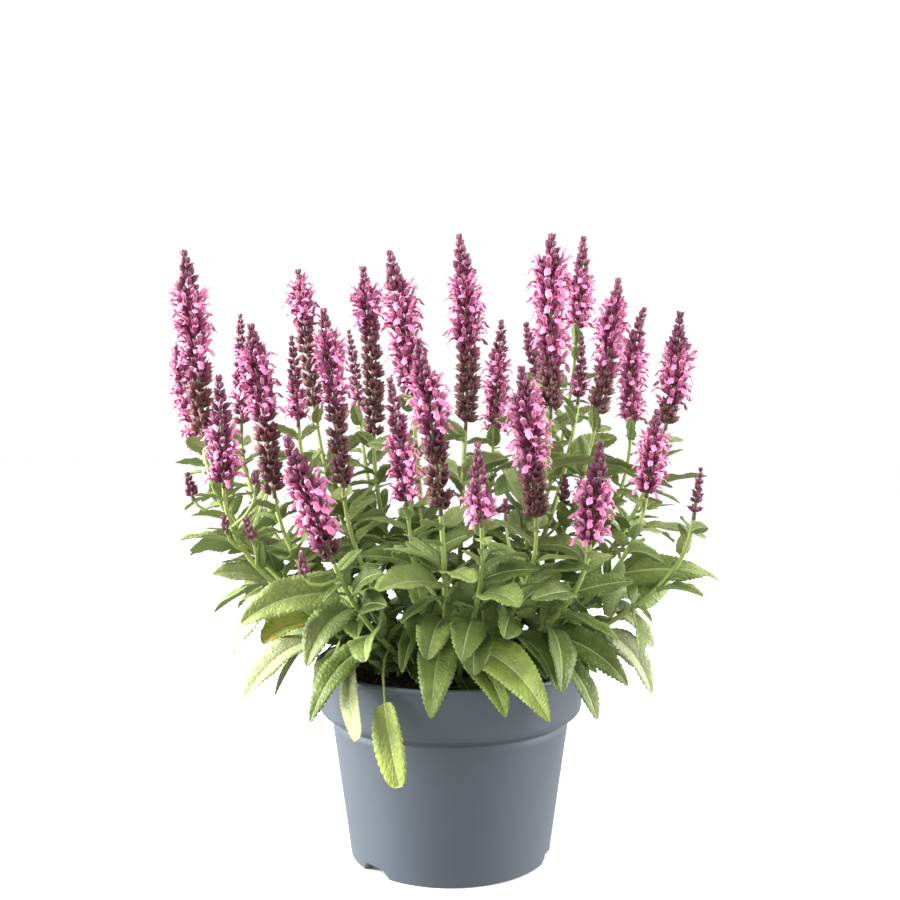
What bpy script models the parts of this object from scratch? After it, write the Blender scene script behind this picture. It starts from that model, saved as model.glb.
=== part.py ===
"""A potted woodland sage: a nursery pot of compost with leafy stems and their flower spikes.

The frame is metres with +Z up. The origin is on the pot's axis, on the surface that the pot stands on, and
the front of the plant faces -Y. Sizes and places below are millimetres, and MM turns them into metres.
"""

import math
from typing import NamedTuple

import bpy
import numpy as np
from mathutils.bvhtree import BVHTree

MM = 0.001
SEED = 11

# Pot: a 19 cm nursery pot
POT_SIDES = 28
RIM_RADIUS = 95.3
RIM_HEIGHT = 137.0
LIP_HEIGHT = 3.4
LIP_PROUD = 0.9
SHOULDER_RADIUS = 92.3
SHOULDER_HEIGHT = 103.0
NECK_RADIUS = 83.2
NECK_HEIGHT = 97.0
FOOT_RADIUS = 70.2
EDGE = 0.8
WALL = 1.6
FLOOR_HEIGHT = 7.0
CENTRE_FOOT_RADIUS = 27.0
NOTCH_AZIMUTHS = (-46.0, 74.0, 194.0)
NOTCH_WIDTH = 24.0
NOTCH_TOP_SHARE = 0.72
NOTCH_DEPTH = 16.0
NOTCH_HEIGHT = 6.2
DRAIN_RADIUS = 4.5
DRAIN_CIRCLE = 57.0
DRAINS = 6
DRAIN_DEPTH = 20.0

# Compost
SOIL_RIM_HEIGHT = 121.5
SOIL_CROWN_HEIGHT = 126.5
SOIL_GAP = 0.3
FOOT_HEIGHT = 113.0
STRAIGHT_TOP = 130.0
HOLE_SIDES = 5
HOLE_RADIUS = 3.25
HOLE_DEPTH = 30.0

# Stems and leaves
STEM_RADIUS_FOOT = 2.3
STEM_RADIUS_TOP = 1.5
STEM_POINTS = 17
STEM_RINGS = 4
STEM_PULLS = (0.38, 0.36)
STEM_LEAN = 0.75
FLAT_SHARE = math.sqrt(0.5)
PLACE_STEP = 4.0
ROOT_HALF = 1.2
RING_MARGIN = 1.5
REFERENCE = (0.31, 0.95, 0.05)
CROWN_SHARE = 0.30
CROWN_RADIUS = 52.0
SPIKE_GAP = 0.3
LOWEST_ROOT = 141.0
LEAF_THICKNESS = 1.2
LEAF_ASPECT = 0.45
LEAF_CUP = 0.16
LEAF_WAVE = 0.035
LEAF_EDGE = ((0.09, 0.46), (0.26, 0.96), (0.42, 0.88), (0.60, 1.0), (0.83, 0.68))
SMALL_LEAF_EDGE = ((0.16, 0.60), (0.42, 1.0), (0.74, 0.60))
SMALL_LEAF_LENGTH = 43.0

# Spikes
SPIKE_SIDES = 8
TIER_SPACING = 15.0
SPIKE_CORE = 3.0
CALYX_REACH = 10.5
FLOWER_REACH = 14.5
TIP_REACH = 4.2
BLOOM_MARGIN = 0.03
TIP_TAPER = 0.28
TIER_NOTCH = 0.58
TIER_HEIGHTS = (0.74, 0.50)


class Shoot(NamedTuple):
    """A leafy stem with a flower spike: three points of the spike's axis, its blooming stretch and girth."""

    name: str
    base: tuple
    middle: tuple
    tip: tuple
    bloom: tuple
    girth: float


class Leaf(NamedTuple):
    """A leaf on its stem: where it grows, the points that bend its midrib, its width, roll and bare stalk."""

    owner: int
    place: float
    face: int
    root: np.ndarray
    bend: np.ndarray
    tip: np.ndarray
    width: float
    roll: float
    stalk: float = 0.0


class OutlineLeaf(NamedTuple):
    """A leaf set by hand: its root, tip, width and arch, its bare stalk's share, and its sideways lean."""

    root: tuple
    tip: tuple
    width: float
    arch: float
    stalk: float = 0.0
    lean: float = 0.0


class SideShoot(NamedTuple):
    """A short shoot on a stem: where it grows, its line, and the tip of its bud head."""

    owner: int
    place: float
    face: int
    line: np.ndarray
    tip: np.ndarray


SHOOTS = (
    Shoot("01", (-182, 35, 279), (-195, 45, 319), (-205, 50, 362), (0.05, 0.92), 0.80),
    Shoot("02", (-173, -5, 292), (-177, -12, 364), (-182, -20, 422), (0.42, 0.79), 1.00),
    Shoot("03", (-161, 75, 294), (-162, 80, 343), (-163, 85, 388), (0.27, 0.43), 0.72),
    Shoot("04", (-150, -50, 261), (-149, -60, 299), (-150, -65, 336), (0.03, 0.57), 0.90),
    Shoot("05", (-120, -25, 252), (-127, -30, 312), (-134, -35, 371), (0.50, 0.85), 0.98),
    Shoot("06", (-101, 50, 310), (-108, 55, 364), (-115, 60, 419), (0.64, 0.92), 0.88),
    Shoot("07", (-109, 15, 300), (-111, 15, 334), (-114, 15, 367), (0.00, 0.45), 0.70),
    Shoot("08", (-74, -85, 216), (-87, -100, 257), (-100, -110, 298), (0.25, 0.71), 1.02),
    Shoot("09", (-73, -30, 260), (-78, -35, 321), (-85, -40, 381), (0.54, 0.86), 0.90),
    Shoot("10", (-71, 90, 308), (-75, 95, 343), (-81, 100, 377), (0.00, 0.28), 0.66),
    Shoot("11", (-58, 60, 292), (-60, 65, 357), (-67, 70, 422), (0.68, 0.88), 0.95),
    Shoot("12", (-27, 10, 319), (-33, 15, 369), (-44, 20, 427), (0.13, 0.73), 1.05),
    Shoot("13", (-29, -45, 248), (-34, -50, 293), (-40, -55, 335), (0.00, 0.60), 0.82),
    Shoot("14", (-6, -85, 246), (-12, -95, 306), (-21, -105, 357), (0.52, 0.78), 0.98),
    Shoot("15", (11, 35, 297), (12, 45, 371), (6, 50, 443), (0.46, 0.76), 1.05),
    Shoot("16", (19, -105, 241), (17, -115, 268), (16, -120, 295), (0.02, 0.50), 0.82),
    Shoot("17", (34, 95, 290), (37, 105, 335), (41, 110, 385), (0.07, 0.69), 0.85),
    Shoot("18", (54, -85, 245), (49, -95, 294), (43, -105, 340), (0.37, 0.80), 1.00),
    Shoot("19", (69, 75, 335), (63, 80, 358), (58, 85, 381), (0.00, 0.00), 0.85),
    Shoot("20", (70, -5, 306), (70, -5, 371), (70, -5, 435), (0.37, 0.86), 1.12),
    Shoot("21", (88, -85, 228), (90, -95, 262), (92, -105, 294), (0.02, 0.65), 0.95),
    Shoot("22", (95, 50, 316), (98, 55, 342), (99, 60, 370), (0.20, 0.40), 0.66),
    Shoot("23", (99, 90, 371), (102, 95, 410), (105, 100, 449), (0.00, 0.59), 0.95),
    Shoot("24", (106, 25, 305), (116, 30, 359), (123, 35, 409), (0.40, 0.83), 0.98),
    Shoot("25", (133, -30, 253), (136, -35, 284), (138, -40, 314), (0.00, 0.80), 0.86),
    Shoot("26", (138, 70, 297), (142, 80, 358), (152, 85, 392), (0.00, 0.68), 0.88),
    Shoot("27", (151, 0, 298), (158, 0, 340), (161, 0, 382), (0.30, 0.69), 0.95),
    Shoot("28", (161, -50, 240), (163, -52, 259), (165, -56, 277), (0.00, 0.00), 0.62),
)

# Leaves that shape the outline: each midrib arches over its chord, and a lean below 0 is to the right
OUTLINE_LEAVES = (
    OutlineLeaf((113, -20, 195), (172, -40, 197), 26.0, 6.0, lean=-0.8),
    OutlineLeaf((9, -75, 142), (60, -122, 124), 27.0, 14.0, lean=-0.3),
    OutlineLeaf((-27, -70, 143), (-31, -109, 80), 22.0, 26.0, stalk=0.46),
    OutlineLeaf((-48, -70, 143), (-86, -112, 121), 22.0, 12.0, lean=0.3),
    OutlineLeaf((-84, -60, 147), (-130, -90, 130), 27.0, 10.0, stalk=0.12, lean=0.6),
    OutlineLeaf((-90, -60, 193), (-131, -95, 179), 26.0, 8.0, lean=0.5),
    OutlineLeaf((-144, -45, 220), (-177, -60, 227), 19.0, 4.0, lean=0.3),
    OutlineLeaf((-132, -30, 190), (-160, -42, 208), 19.0, 3.0, lean=0.6),
    OutlineLeaf((101, -30, 161), (135, -45, 122), 20.0, 8.0, lean=-0.6),
    OutlineLeaf((73, -60, 148), (113, -84, 137), 23.0, 8.0, lean=-0.5),
    OutlineLeaf((93, -30, 178), (130, -40, 161), 21.0, 8.0, lean=-0.6),
    OutlineLeaf((-102, -20, 155), (-133, -40, 145), 20.0, 6.0, lean=0.7),
    OutlineLeaf((-129, -20, 173), (-148, -40, 147), 24.0, 8.0, lean=0.7),
    OutlineLeaf((-2, -88, 192), (-44, -115, 203), 25.0, 5.0),
    OutlineLeaf((-2, -88, 192), (42, -115, 193), 25.0, 6.0),
    OutlineLeaf((-36, -70, 144), (-12, -114, 124), 26.0, 14.0),
    OutlineLeaf((-45, -70, 145), (-56, -113, 111), 18.0, 18.0, stalk=0.30),
    OutlineLeaf((-68, -70, 182), (-90, -96, 152), 24.0, 8.0, lean=0.4),
    OutlineLeaf((60, -80, 161), (68, -108, 138), 23.0, 8.0),
    OutlineLeaf((150, -15, 226), (177, -18, 224), 12.0, 3.0),
    OutlineLeaf((-66, -70, 195), (-90, -104, 194), 20.0, 5.0),
    OutlineLeaf((-66, -70, 195), (-42, -97, 211), 20.0, 5.0),
    OutlineLeaf((70, 40, 150), (104, 84, 132), 24.0, 10.0),
    OutlineLeaf((10, 60, 148), (16, 112, 128), 25.0, 12.0),
    OutlineLeaf((-50, 50, 150), (-82, 92, 136), 24.0, 10.0),
    OutlineLeaf((-90, 30, 165), (-136, 52, 152), 23.0, 8.0),
    OutlineLeaf((100, 40, 180), (142, 66, 170), 23.0, 8.0),
    OutlineLeaf((-6, -45, 144), (-8, -98, 130), 24.0, 12.0),
    OutlineLeaf((26, -45, 144), (34, -102, 133), 24.0, 12.0),
    OutlineLeaf((-20, 45, 146), (-38, 102, 134), 24.0, 12.0),
    OutlineLeaf((42, 40, 146), (64, 98, 134), 24.0, 12.0),
    OutlineLeaf((-55, 15, 148), (-110, 46, 142), 24.0, 10.0),
    OutlineLeaf((60, 10, 150), (116, 30, 140), 24.0, 10.0),
    OutlineLeaf((0, 30, 160), (-12, 84, 156), 25.0, 12.0),
    OutlineLeaf((20, 20, 164), (44, 72, 162), 25.0, 12.0),
    OutlineLeaf((-30, 20, 166), (-66, 66, 160), 25.0, 12.0),
)

# Side shoots: the foot and the tip of each bud head
SIDE_SHOOTS = (
    ((-127, -60, 261), (-127, -60, 275)),
    ((-147, -57, 233), (-149, -59, 246)),
    ((-130, -57, 227), (-135, -59, 244)),
    ((-90, -104, 211), (-92, -106, 227)),
    ((-61, -80, 214), (-61, -80, 226)),
    ((82, 20, 242), (83, 20, 268)),
    ((37, -40, 240), (37, -40, 255)),
    ((-180, -8, 251), (-184, -10, 271)),
)
SIDE_RADIUS = 1.1

# Rings of a bud head: share of its height, share of its reach, and quarter turns
BUD_REACH = 4.6
BUD_RINGS = ((0.30, 1.0, 0.5), (0.52, 0.5, 0.5), (0.76, 0.72, 1.0))

# Room kept round every piece, and the moves that are tried in turn to find it
CLEAR = 0.9
STEM_ROOM = 1.8
SOIL_ROOM = 3.0
SPIKE_STATIONS = (0.0, 0.07, 0.25, 0.45, 0.65, 0.82, 1.0)
POT = "pot"
FOOT_SPACING = 8.5
FOOT_NUDGES = (5.0, 9.0, 14.0, 20.0, 26.0)
OUTLINE_NUDGES = (
    (0, 0, 0),
    (0, 0, 6),
    (0, 0, -6),
    (0, -8, 2),
    (0, 8, 2),
    (6, 0, 10),
    (-6, 0, 10),
    (0, -12, -8),
    (8, 6, -10),
    (-8, 6, -10),
)
OUTLINE_LOOK = 0.45
SHOOT_LOOK = 0.30
SHOOT_DROP = 26.0
OWNER_TRIES = 4
PAIR_TILT = 54.0
DROOP_VARIETY = 0.6
PAIR_SHIFT = 5.0
PAIR_VARIETY = 0.12
LEAST_RUN = 20.0
BEND_SHARES = (0.45, 0.58)
ROLL_OUT = 0.9
ROLL_VARIETY = 0.35

# Opposite pairs down a stem: distance under the spike, leaf length, and how far the outer half droops
PAIRS = (
    (8.0, 24.0, 0.35),
    (40.0, 42.0, 0.50),
    (76.0, 54.0, 0.62),
    (116.0, 58.0, 0.70),
    (156.0, 58.0, 0.75),
)
PAIR_TRIES = [
    (scale, tilt, turn)
    for scale in (1.0, 0.85, 0.7)
    for tilt in (0.0, 14.0, -14.0, 26.0)
    for turn in (0.0, 20.0, -20.0, 42.0, -42.0)
]


def unit(vector):
    """The vector at length one."""
    return vector / max(np.linalg.norm(vector), 1e-9)


def arc_of(points, share):
    """A quadratic curve through three points, at shares 0 to 1 of its length in parameter."""
    start, middle, end = (np.array(point, float) for point in points)
    pull = 2.0 * middle - 0.5 * (start + end)
    share = np.asarray(share, float)[..., None]
    return (1 - share) ** 2 * start + 2 * share * (1 - share) * pull + share**2 * end


def across_frame(along):
    """Two directions across a direction, turning smoothly with it."""
    side = unit(np.cross(along, REFERENCE))
    return side, np.cross(along, side)


class Stem:
    """The line of a stem from its foot to its spike, with its square section turned by an angle."""

    def __init__(self, shoot, foot, turn):
        base, above = arc_of((shoot.base, shoot.middle, shoot.tip), (0.0, 0.05))
        rise = np.array((foot[0], foot[1], STRAIGHT_TOP))
        reach = np.linalg.norm(base - rise)
        first = rise + unit((base - rise) * (1.0, 1.0, STEM_LEAN)) * (STEM_PULLS[0] * reach)
        last = base - unit(above - base) * (STEM_PULLS[1] * reach)
        share = np.linspace(0.0, 1.0, STEM_POINTS)[:, None]
        bend = (
            (1 - share) ** 3 * rise
            + 3 * share * (1 - share) ** 2 * first
            + 3 * share**2 * (1 - share) * last
            + share**3 * base
        )
        self.points = np.vstack([(foot[0], foot[1], FOOT_HEIGHT), bend])
        self.run = np.concatenate([[0.0], np.cumsum(np.linalg.norm(np.diff(self.points, axis=0), axis=1))])
        self.directions = np.gradient(self.points, self.run, axis=0)
        self.turn = turn

    def at(self, run):
        """The point, the direction and the radius of the section at a distance from the foot."""
        point = np.array([np.interp(run, self.run, self.points[:, axis]) for axis in range(3)])
        along = unit(np.array([np.interp(run, self.run, self.directions[:, axis]) for axis in range(3)]))
        return point, along, np.interp(run, (0.0, self.run[-1]), (STEM_RADIUS_FOOT, STEM_RADIUS_TOP))

    def below(self, distance):
        """The distance from the foot of a place measured down from the spike, on the stem's own lattice."""
        return self.run[-1] - max(2, round(distance / PLACE_STEP)) * PLACE_STEP

    def facing(self, along, face):
        """The direction that one of the four faces of the section looks in."""
        side, other = across_frame(along)
        angle = self.turn + 0.5 * math.pi * (face + 0.5)
        return math.cos(angle) * side + math.sin(angle) * other

    def ring(self, run, grow=1.0):
        """The four corners of the section at a distance from the foot."""
        point, along, radius = self.at(run)
        side, other = across_frame(along)
        angle = self.turn + 0.5 * math.pi * np.arange(4)
        return point + grow * radius * (np.cos(angle)[:, None] * side + np.sin(angle)[:, None] * other)

    def face_towards(self, run, target):
        """The face that looks most towards a target, and the point at its middle."""
        point, along, radius = self.at(run)
        looks = [self.facing(along, face) @ unit(target - point) for face in range(4)]
        face = int(np.argmax(looks))
        return face, point + self.facing(along, face) * (FLAT_SHARE * radius), looks[face]


def tube_faces(rings, sides):
    """The faces of a closed tube of rings with flat ends."""
    faces = [
        (r * sides + s, r * sides + (s + 1) % sides, (r + 1) * sides + (s + 1) % sides, (r + 1) * sides + s)
        for r in range(rings - 1)
        for s in range(sides)
    ]
    faces.append(tuple(range(sides))[::-1])
    faces.append(tuple((rings - 1) * sides + s for s in range(sides)))
    return faces


def closed_at_tip(points, rings, sides):
    """The points, and the faces of a tube of rings that is flat at its foot and ends in a point."""
    faces = tube_faces(rings, sides)[:-1]
    last = (rings - 1) * sides
    faces += [(last + s, last + (s + 1) % sides, rings * sides) for s in range(sides)]
    return points, faces


def spike_reach(shoot, share):
    """How far the whorl at a share of the spike stands out from its axis."""
    low, high = shoot.bloom
    reach = FLOWER_REACH if low - BLOOM_MARGIN < share < high + BLOOM_MARGIN else CALYX_REACH
    fade = min(1.0, (1.0 - share) / TIP_TAPER)
    return shoot.girth * (TIP_REACH + (reach - TIP_REACH) * fade**0.8)


def level_across(chord):
    """The level direction across a chord, to its right."""
    return unit(np.cross(unit(chord * (1.0, 1.0, 0.0)), (0.0, 0.0, 1.0)))


def outward_roll(root, tip):
    """The roll that turns a leaf's upper face a little outwards from the plant's axis."""
    outward = unit(root * (1.0, 1.0, 0.0))
    return -ROLL_OUT * float(level_across(tip - root) @ outward)


def leaf_shape(leaf, swell=0.0):
    """A leaf blade: a toothed outline round a bent midrib, thick at the midrib and sharp at its edge.

    The midrib is a quadratic curve. Points of the edge lie to both sides of it, raised a little above it,
    with every other one waved up or down, and both faces are split alike. The first four points are the
    corners of the root, in the order upper left, lower left, lower right, upper right, and the last face
    closes it. A bare stalk ends in four more such corners. Swell grows the blade on all sides.
    """
    chord = leaf.tip - leaf.root
    length = np.linalg.norm(chord)
    bare = leaf.stalk
    edge = LEAF_EDGE if length > SMALL_LEAF_LENGTH else SMALL_LEAF_EDGE
    edge = [(bare + (1 - bare) * share, width) for share, width in edge]
    count = len(edge)
    mids = (count - 1) // 2
    across = level_across(chord)
    facing = unit(np.cross(across, unit(chord)))
    across = math.cos(leaf.roll) * across + math.sin(leaf.roll) * facing

    def midrib(share):
        return (1 - share) ** 2 * leaf.root + 2 * share * (1 - share) * leaf.bend + share**2 * leaf.tip

    def upward(share):
        ahead = 2 * (1 - share) * (leaf.bend - leaf.root) + 2 * share * (leaf.tip - leaf.bend)
        return unit(np.cross(across, unit(ahead)))

    half = 0.5 * LEAF_THICKNESS + swell
    root_half = ROOT_HALF + swell
    corners = [
        midrib(share) + across * (root_half * right) + upward(share) * (root_half * up)
        for share in ((0.0, bare) if bare else (0.0,))
        for right, up in ((-1, 1), (-1, -1), (1, -1), (1, 1))
    ]
    neck = len(corners) - 4
    shares = [edge[2 * m + 1][0] for m in range(mids)]
    upper = [midrib(share) + upward(share) * half for share in shares]
    lower = [midrib(share) - upward(share) * half for share in shares]
    left = []
    right = []
    for place, (share, width) in enumerate(edge):
        spread = across * (0.5 * leaf.width * width + swell)
        lift = upward(share) * leaf.width * (LEAF_CUP * width + LEAF_WAVE * (-1) ** place)
        left.append(midrib(share) - spread + lift)
        right.append(midrib(share) + spread + lift)
    points = corners + upper + lower + left + right + [midrib(1.0 + swell / length)]
    tip = len(points) - 1
    top = len(corners)
    under, first_left, first_right = top + mids, top + 2 * mids, top + 2 * mids + count
    faces = [(side, side + 4, (side + 1) % 4 + 4, (side + 1) % 4) for side in range(neck)]
    fan = (first_left, under, first_right, top)
    for side, (ahead, behind) in enumerate(zip(fan, fan[-1:] + fan[:-1])):
        here = neck + side
        faces += [(here, behind, ahead), (here, ahead, neck + (side + 1) % 4)]
    for first, is_left in ((first_left, True), (first_right, False)):
        rim = [first + place for place in range(count)] + [tip]
        for start, forward in ((top, not is_left), (under, is_left)):
            mid = [None] + [start + m for m in range(mids)] + [tip]
            for place in range(1, count):
                here = (place + 1) // 2
                if place % 2 == 0:
                    split = [(mid[here], rim[place], mid[here + 1])]
                else:
                    split = [(mid[here], rim[place - 1], rim[place]), (mid[here], rim[place], rim[place + 1])]
                faces += [face if forward else face[::-1] for face in split]
    faces.append((0, 1, 2, 3))
    return np.array(points), faces


def shoot_shape(shoot, swell=0.0):
    """A side shoot: a thin square tube that ends in a head of two tiers of four buds.

    The first four points are the corners of the root, ordered as a leaf's are, and the last face closes it.
    """
    head = shoot.line[-1]
    bud = shoot.tip - head
    centres = np.vstack([shoot.line, head + np.outer([height for height, _, _ in BUD_RINGS], bud)])
    radii = [SIDE_RADIUS] * len(shoot.line) + [BUD_REACH * reach for _, reach, _ in BUD_RINGS]
    turns = [0.0] * len(shoot.line) + [0.5 * math.pi * quarters for _, _, quarters in BUD_RINGS]
    points = []
    for number, (centre, radius, turn) in enumerate(zip(centres, radii, turns)):
        ahead = centres[min(number + 1, len(centres) - 1)] - centres[max(number - 1, 0)]
        side = unit(np.cross(unit(ahead), (0.0, 0.0, 1.0)))
        up = np.cross(side, unit(ahead))
        angle = 0.75 * math.pi + turn + 0.5 * math.pi * np.arange(4)
        ring = np.cos(angle)[:, None] * side + np.sin(angle)[:, None] * up
        points.append(centre + (radius + swell) * ring)
    points = np.vstack([*points, shoot.tip])
    rings = len(centres)
    faces = [
        (4 * r + s, 4 * r + 4 + s, 4 * r + 4 + (s + 1) % 4, 4 * r + (s + 1) % 4)
        for r in range(rings - 1)
        for s in range(4)
    ]
    last = 4 * (rings - 1)
    faces += [(last + s, last + 4, last + (s + 1) % 4) for s in range(4)]
    faces.append((0, 1, 2, 3))
    return points, faces


def leafy_stem(stem, growths):
    """A stem with all that grows on it, as one surface.

    The surface is a square tube. Each leaf and side shoot stands on one face of a short length of it: that
    face is left out, and its four corners are the corners of the leaf's root.
    """
    places = sorted({growth.place for growth in growths})
    plain = [0.0, *np.linspace(stem.run[1], stem.run[-1], STEM_RINGS)]
    runs = [run for run in plain if all(abs(run - place) > ROOT_HALF + RING_MARGIN for place in places)]
    runs = sorted(runs + [place + side for place in places for side in (-ROOT_HALF, ROOT_HALF)])
    points = [corner for run in runs for corner in stem.ring(run)]
    faces = [tuple(range(4))[::-1], tuple(4 * len(runs) - 4 + s for s in range(4))]
    grown = {(round(growth.place, 3), growth.face): growth for growth in growths}
    for number in range(len(runs) - 1):
        centre = round(0.5 * (runs[number] + runs[number + 1]), 3)
        for face in range(4):
            low_right, low_left = 4 * number + face, 4 * number + (face + 1) % 4
            quad = (low_right, low_left, low_left + 4, low_right + 4)
            growth = grown.get((centre, face))
            if growth is None:
                faces.append(quad)
                continue
            shape = leaf_shape(growth) if isinstance(growth, Leaf) else shoot_shape(growth)
            corners = (low_left + 4, low_left, low_right, low_right + 4)
            shift = len(points) - 4
            points += list(shape[0][4:])
            faces += [tuple(corners[p] if p < 4 else p + shift for p in own) for own in shape[1][:-1]]
    return np.array(points), faces


class Placed:
    """The shapes already placed, each with its box, for testing whether a new one is clear of them."""

    def __init__(self):
        self.trees = []
        self.owners = []
        self.low = np.empty((0, 3))
        self.high = np.empty((0, 3))

    def add(self, shape, owner):
        """Keep a shape, under the number of its owner."""
        points, faces = shape
        self.trees.append(BVHTree.FromPolygons(points.tolist(), faces))
        self.owners.append(owner)
        self.low = np.vstack([self.low, points.min(axis=0)])
        self.high = np.vstack([self.high, points.max(axis=0)])

    def clear(self, shape, skip=()):
        """Whether a shape crosses none of the kept ones, apart from those of the owners in skip."""
        points, faces = shape
        near = np.all((self.low < points.max(axis=0)) & (self.high > points.min(axis=0)), axis=1)
        tree = BVHTree.FromPolygons(points.tolist(), faces)
        return not any(
            tree.overlap(self.trees[number])
            for number in np.flatnonzero(near)
            if self.owners[number] not in skip
        )


def spike_keepout(shoot):
    """A plain tube that holds the whole spike."""
    radii = [spike_reach(shoot, share) + CLEAR for share in SPIKE_STATIONS]
    radii[0] = STEM_RADIUS_FOOT + CLEAR
    radii[-1] = TIP_REACH
    return round_tube(arc_of((shoot.base, shoot.middle, shoot.tip), SPIKE_STATIONS), radii)


def round_tube(points, radii):
    """A plain tube with the spikes' number of sides, used to keep room."""
    side, other = across_frame(unit(points[-1] - points[0]))
    turn = np.arange(SPIKE_SIDES) * (2 * math.pi / SPIKE_SIDES)
    circle = np.cos(turn)[:, None] * side + np.sin(turn)[:, None] * other
    rings = [point + radius * circle for point, radius in zip(points, radii)]
    return np.vstack(rings), tube_faces(len(rings), SPIKE_SIDES)


def stem_keepout(stem):
    """The bare stem, a little thicker than it is."""
    runs = np.linspace(0.0, stem.run[-1], STEM_POINTS)
    return np.vstack([stem.ring(run, STEM_ROOM) for run in runs]), tube_faces(len(runs), 4)


def pot_keepout():
    """The pot's collar and the compost as one plain turned solid, a little larger than they are."""
    profile = (
        (FOOT_RADIUS + CLEAR, 0.0),
        (NECK_RADIUS + CLEAR, NECK_HEIGHT - CLEAR),
        (SHOULDER_RADIUS + CLEAR, SHOULDER_HEIGHT - 2 * CLEAR),
        (RIM_RADIUS + CLEAR, RIM_HEIGHT + CLEAR),
        (RIM_RADIUS - 2 * WALL, RIM_HEIGHT + CLEAR),
        (RIM_RADIUS - 2 * WALL, SOIL_RIM_HEIGHT + SOIL_ROOM),
        (CENTRE_FOOT_RADIUS, SOIL_CROWN_HEIGHT + CLEAR),
    )
    turn = np.arange(POT_SIDES) * (2 * math.pi / POT_SIDES)
    circle = np.column_stack([np.cos(turn), np.sin(turn), np.zeros(POT_SIDES)])
    points = np.vstack([circle * radius + (0.0, 0.0, height) for radius, height in profile])
    return points, tube_faces(len(profile), POT_SIDES)


def place_stems(placed, draw):
    """The stems, each with its foot moved about the crown until it is clear of every stem and spike."""
    stems = []
    nudges = [(0.0, 0.0)]
    nudges += [(reach, turn) for reach in FOOT_NUDGES for turn in range(0, 360, 30)]
    turns = draw.uniform(0.0, 0.5 * math.pi, len(SHOOTS))
    for number, shoot in enumerate(SHOOTS):
        wished = np.array(shoot.base[:2], float) * CROWN_SHARE
        for reach, turn in nudges:
            foot = wished + reach * np.array((math.cos(math.radians(turn)), math.sin(math.radians(turn))))
            foot *= min(1.0, CROWN_RADIUS / np.linalg.norm(foot))
            if any(math.dist(foot, other.points[0][:2]) < FOOT_SPACING for other in stems):
                continue
            stem = Stem(shoot, foot, turns[number])
            shape = stem_keepout(stem)
            if placed.clear(shape, skip=(POT, f"spike {number}")):
                break
        stems.append(stem)
        placed.add(shape, f"stem {number}")
    return stems


def try_growth(placed, growth, growths):
    """Keep a leaf or a side shoot if its face is free and it crosses nothing but its own stem."""
    if any((growth.owner, growth.place, growth.face) == (old.owner, old.place, old.face) for old in growths):
        return False
    shape = leaf_shape(growth, CLEAR) if isinstance(growth, Leaf) else shoot_shape(growth, CLEAR)
    if not placed.clear(shape, skip=(f"stem {growth.owner}",)):
        return False
    placed.add(shape, "growth")
    growths.append(growth)
    return True


def nearest_places(stems, target):
    """The stems that pass nearest a point, nearest first, with the place on each."""
    found = []
    for owner, stem in enumerate(stems):
        runs = [stem.below(distance) for distance in np.arange(12.0, stem.run[-1], PLACE_STEP)]
        runs = [run for run in runs if stem.at(run)[0][2] > LOWEST_ROOT]
        gaps = [math.dist(stem.at(run)[0], target) for run in runs]
        found.append((min(gaps), owner, runs[int(np.argmin(gaps))]))
    return [(owner, run) for _, owner, run in sorted(found)]


def place_outline_leaves(placed, stems, growths):
    """The leaves that shape the outline, each from the stem that passes nearest its root."""
    for wished in OUTLINE_LEAVES:
        kept = False
        for owner, run in nearest_places(stems, wished.root)[:OWNER_TRIES]:
            for nudge in OUTLINE_NUDGES:
                end = np.array(wished.tip, float) + nudge
                centre = 0.5 * (stems[owner].at(run)[0] + end)
                outward = unit(centre * (1.0, 1.0, 0.0))
                bend = centre + 2.0 * wished.arch * unit(0.6 * outward + np.array((0.0, 0.0, 0.8)))
                face, start, look = stems[owner].face_towards(run, bend)
                roll = outward_roll(start, end) + wished.lean
                leaf = Leaf(owner, run, face, start, bend, end, wished.width, roll, wished.stalk)
                kept = look > OUTLINE_LOOK and try_growth(placed, leaf, growths)
                if kept:
                    break
            if kept:
                break


def place_side_shoots(placed, stems, growths):
    """The short side shoots, each from the stem that passes nearest under its bud head."""
    for head, tip in SIDE_SHOOTS:
        head = np.array(head, float)
        tip = np.array(tip, float)
        for owner, run in nearest_places(stems, head - (0.0, 0.0, SHOOT_DROP))[:OWNER_TRIES]:
            point = stems[owner].at(run)[0]
            pull = head - 0.4 * np.linalg.norm(head - point) * unit(tip - head)
            face, start, look = stems[owner].face_towards(run, pull)
            share = np.linspace(0.0, 1.0, 4)[:, None]
            line = (1 - share) ** 2 * start + 2 * share * (1 - share) * pull + share**2 * head
            if look > SHOOT_LOOK and try_growth(placed, SideShoot(owner, run, face, line, tip), growths):
                break


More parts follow.
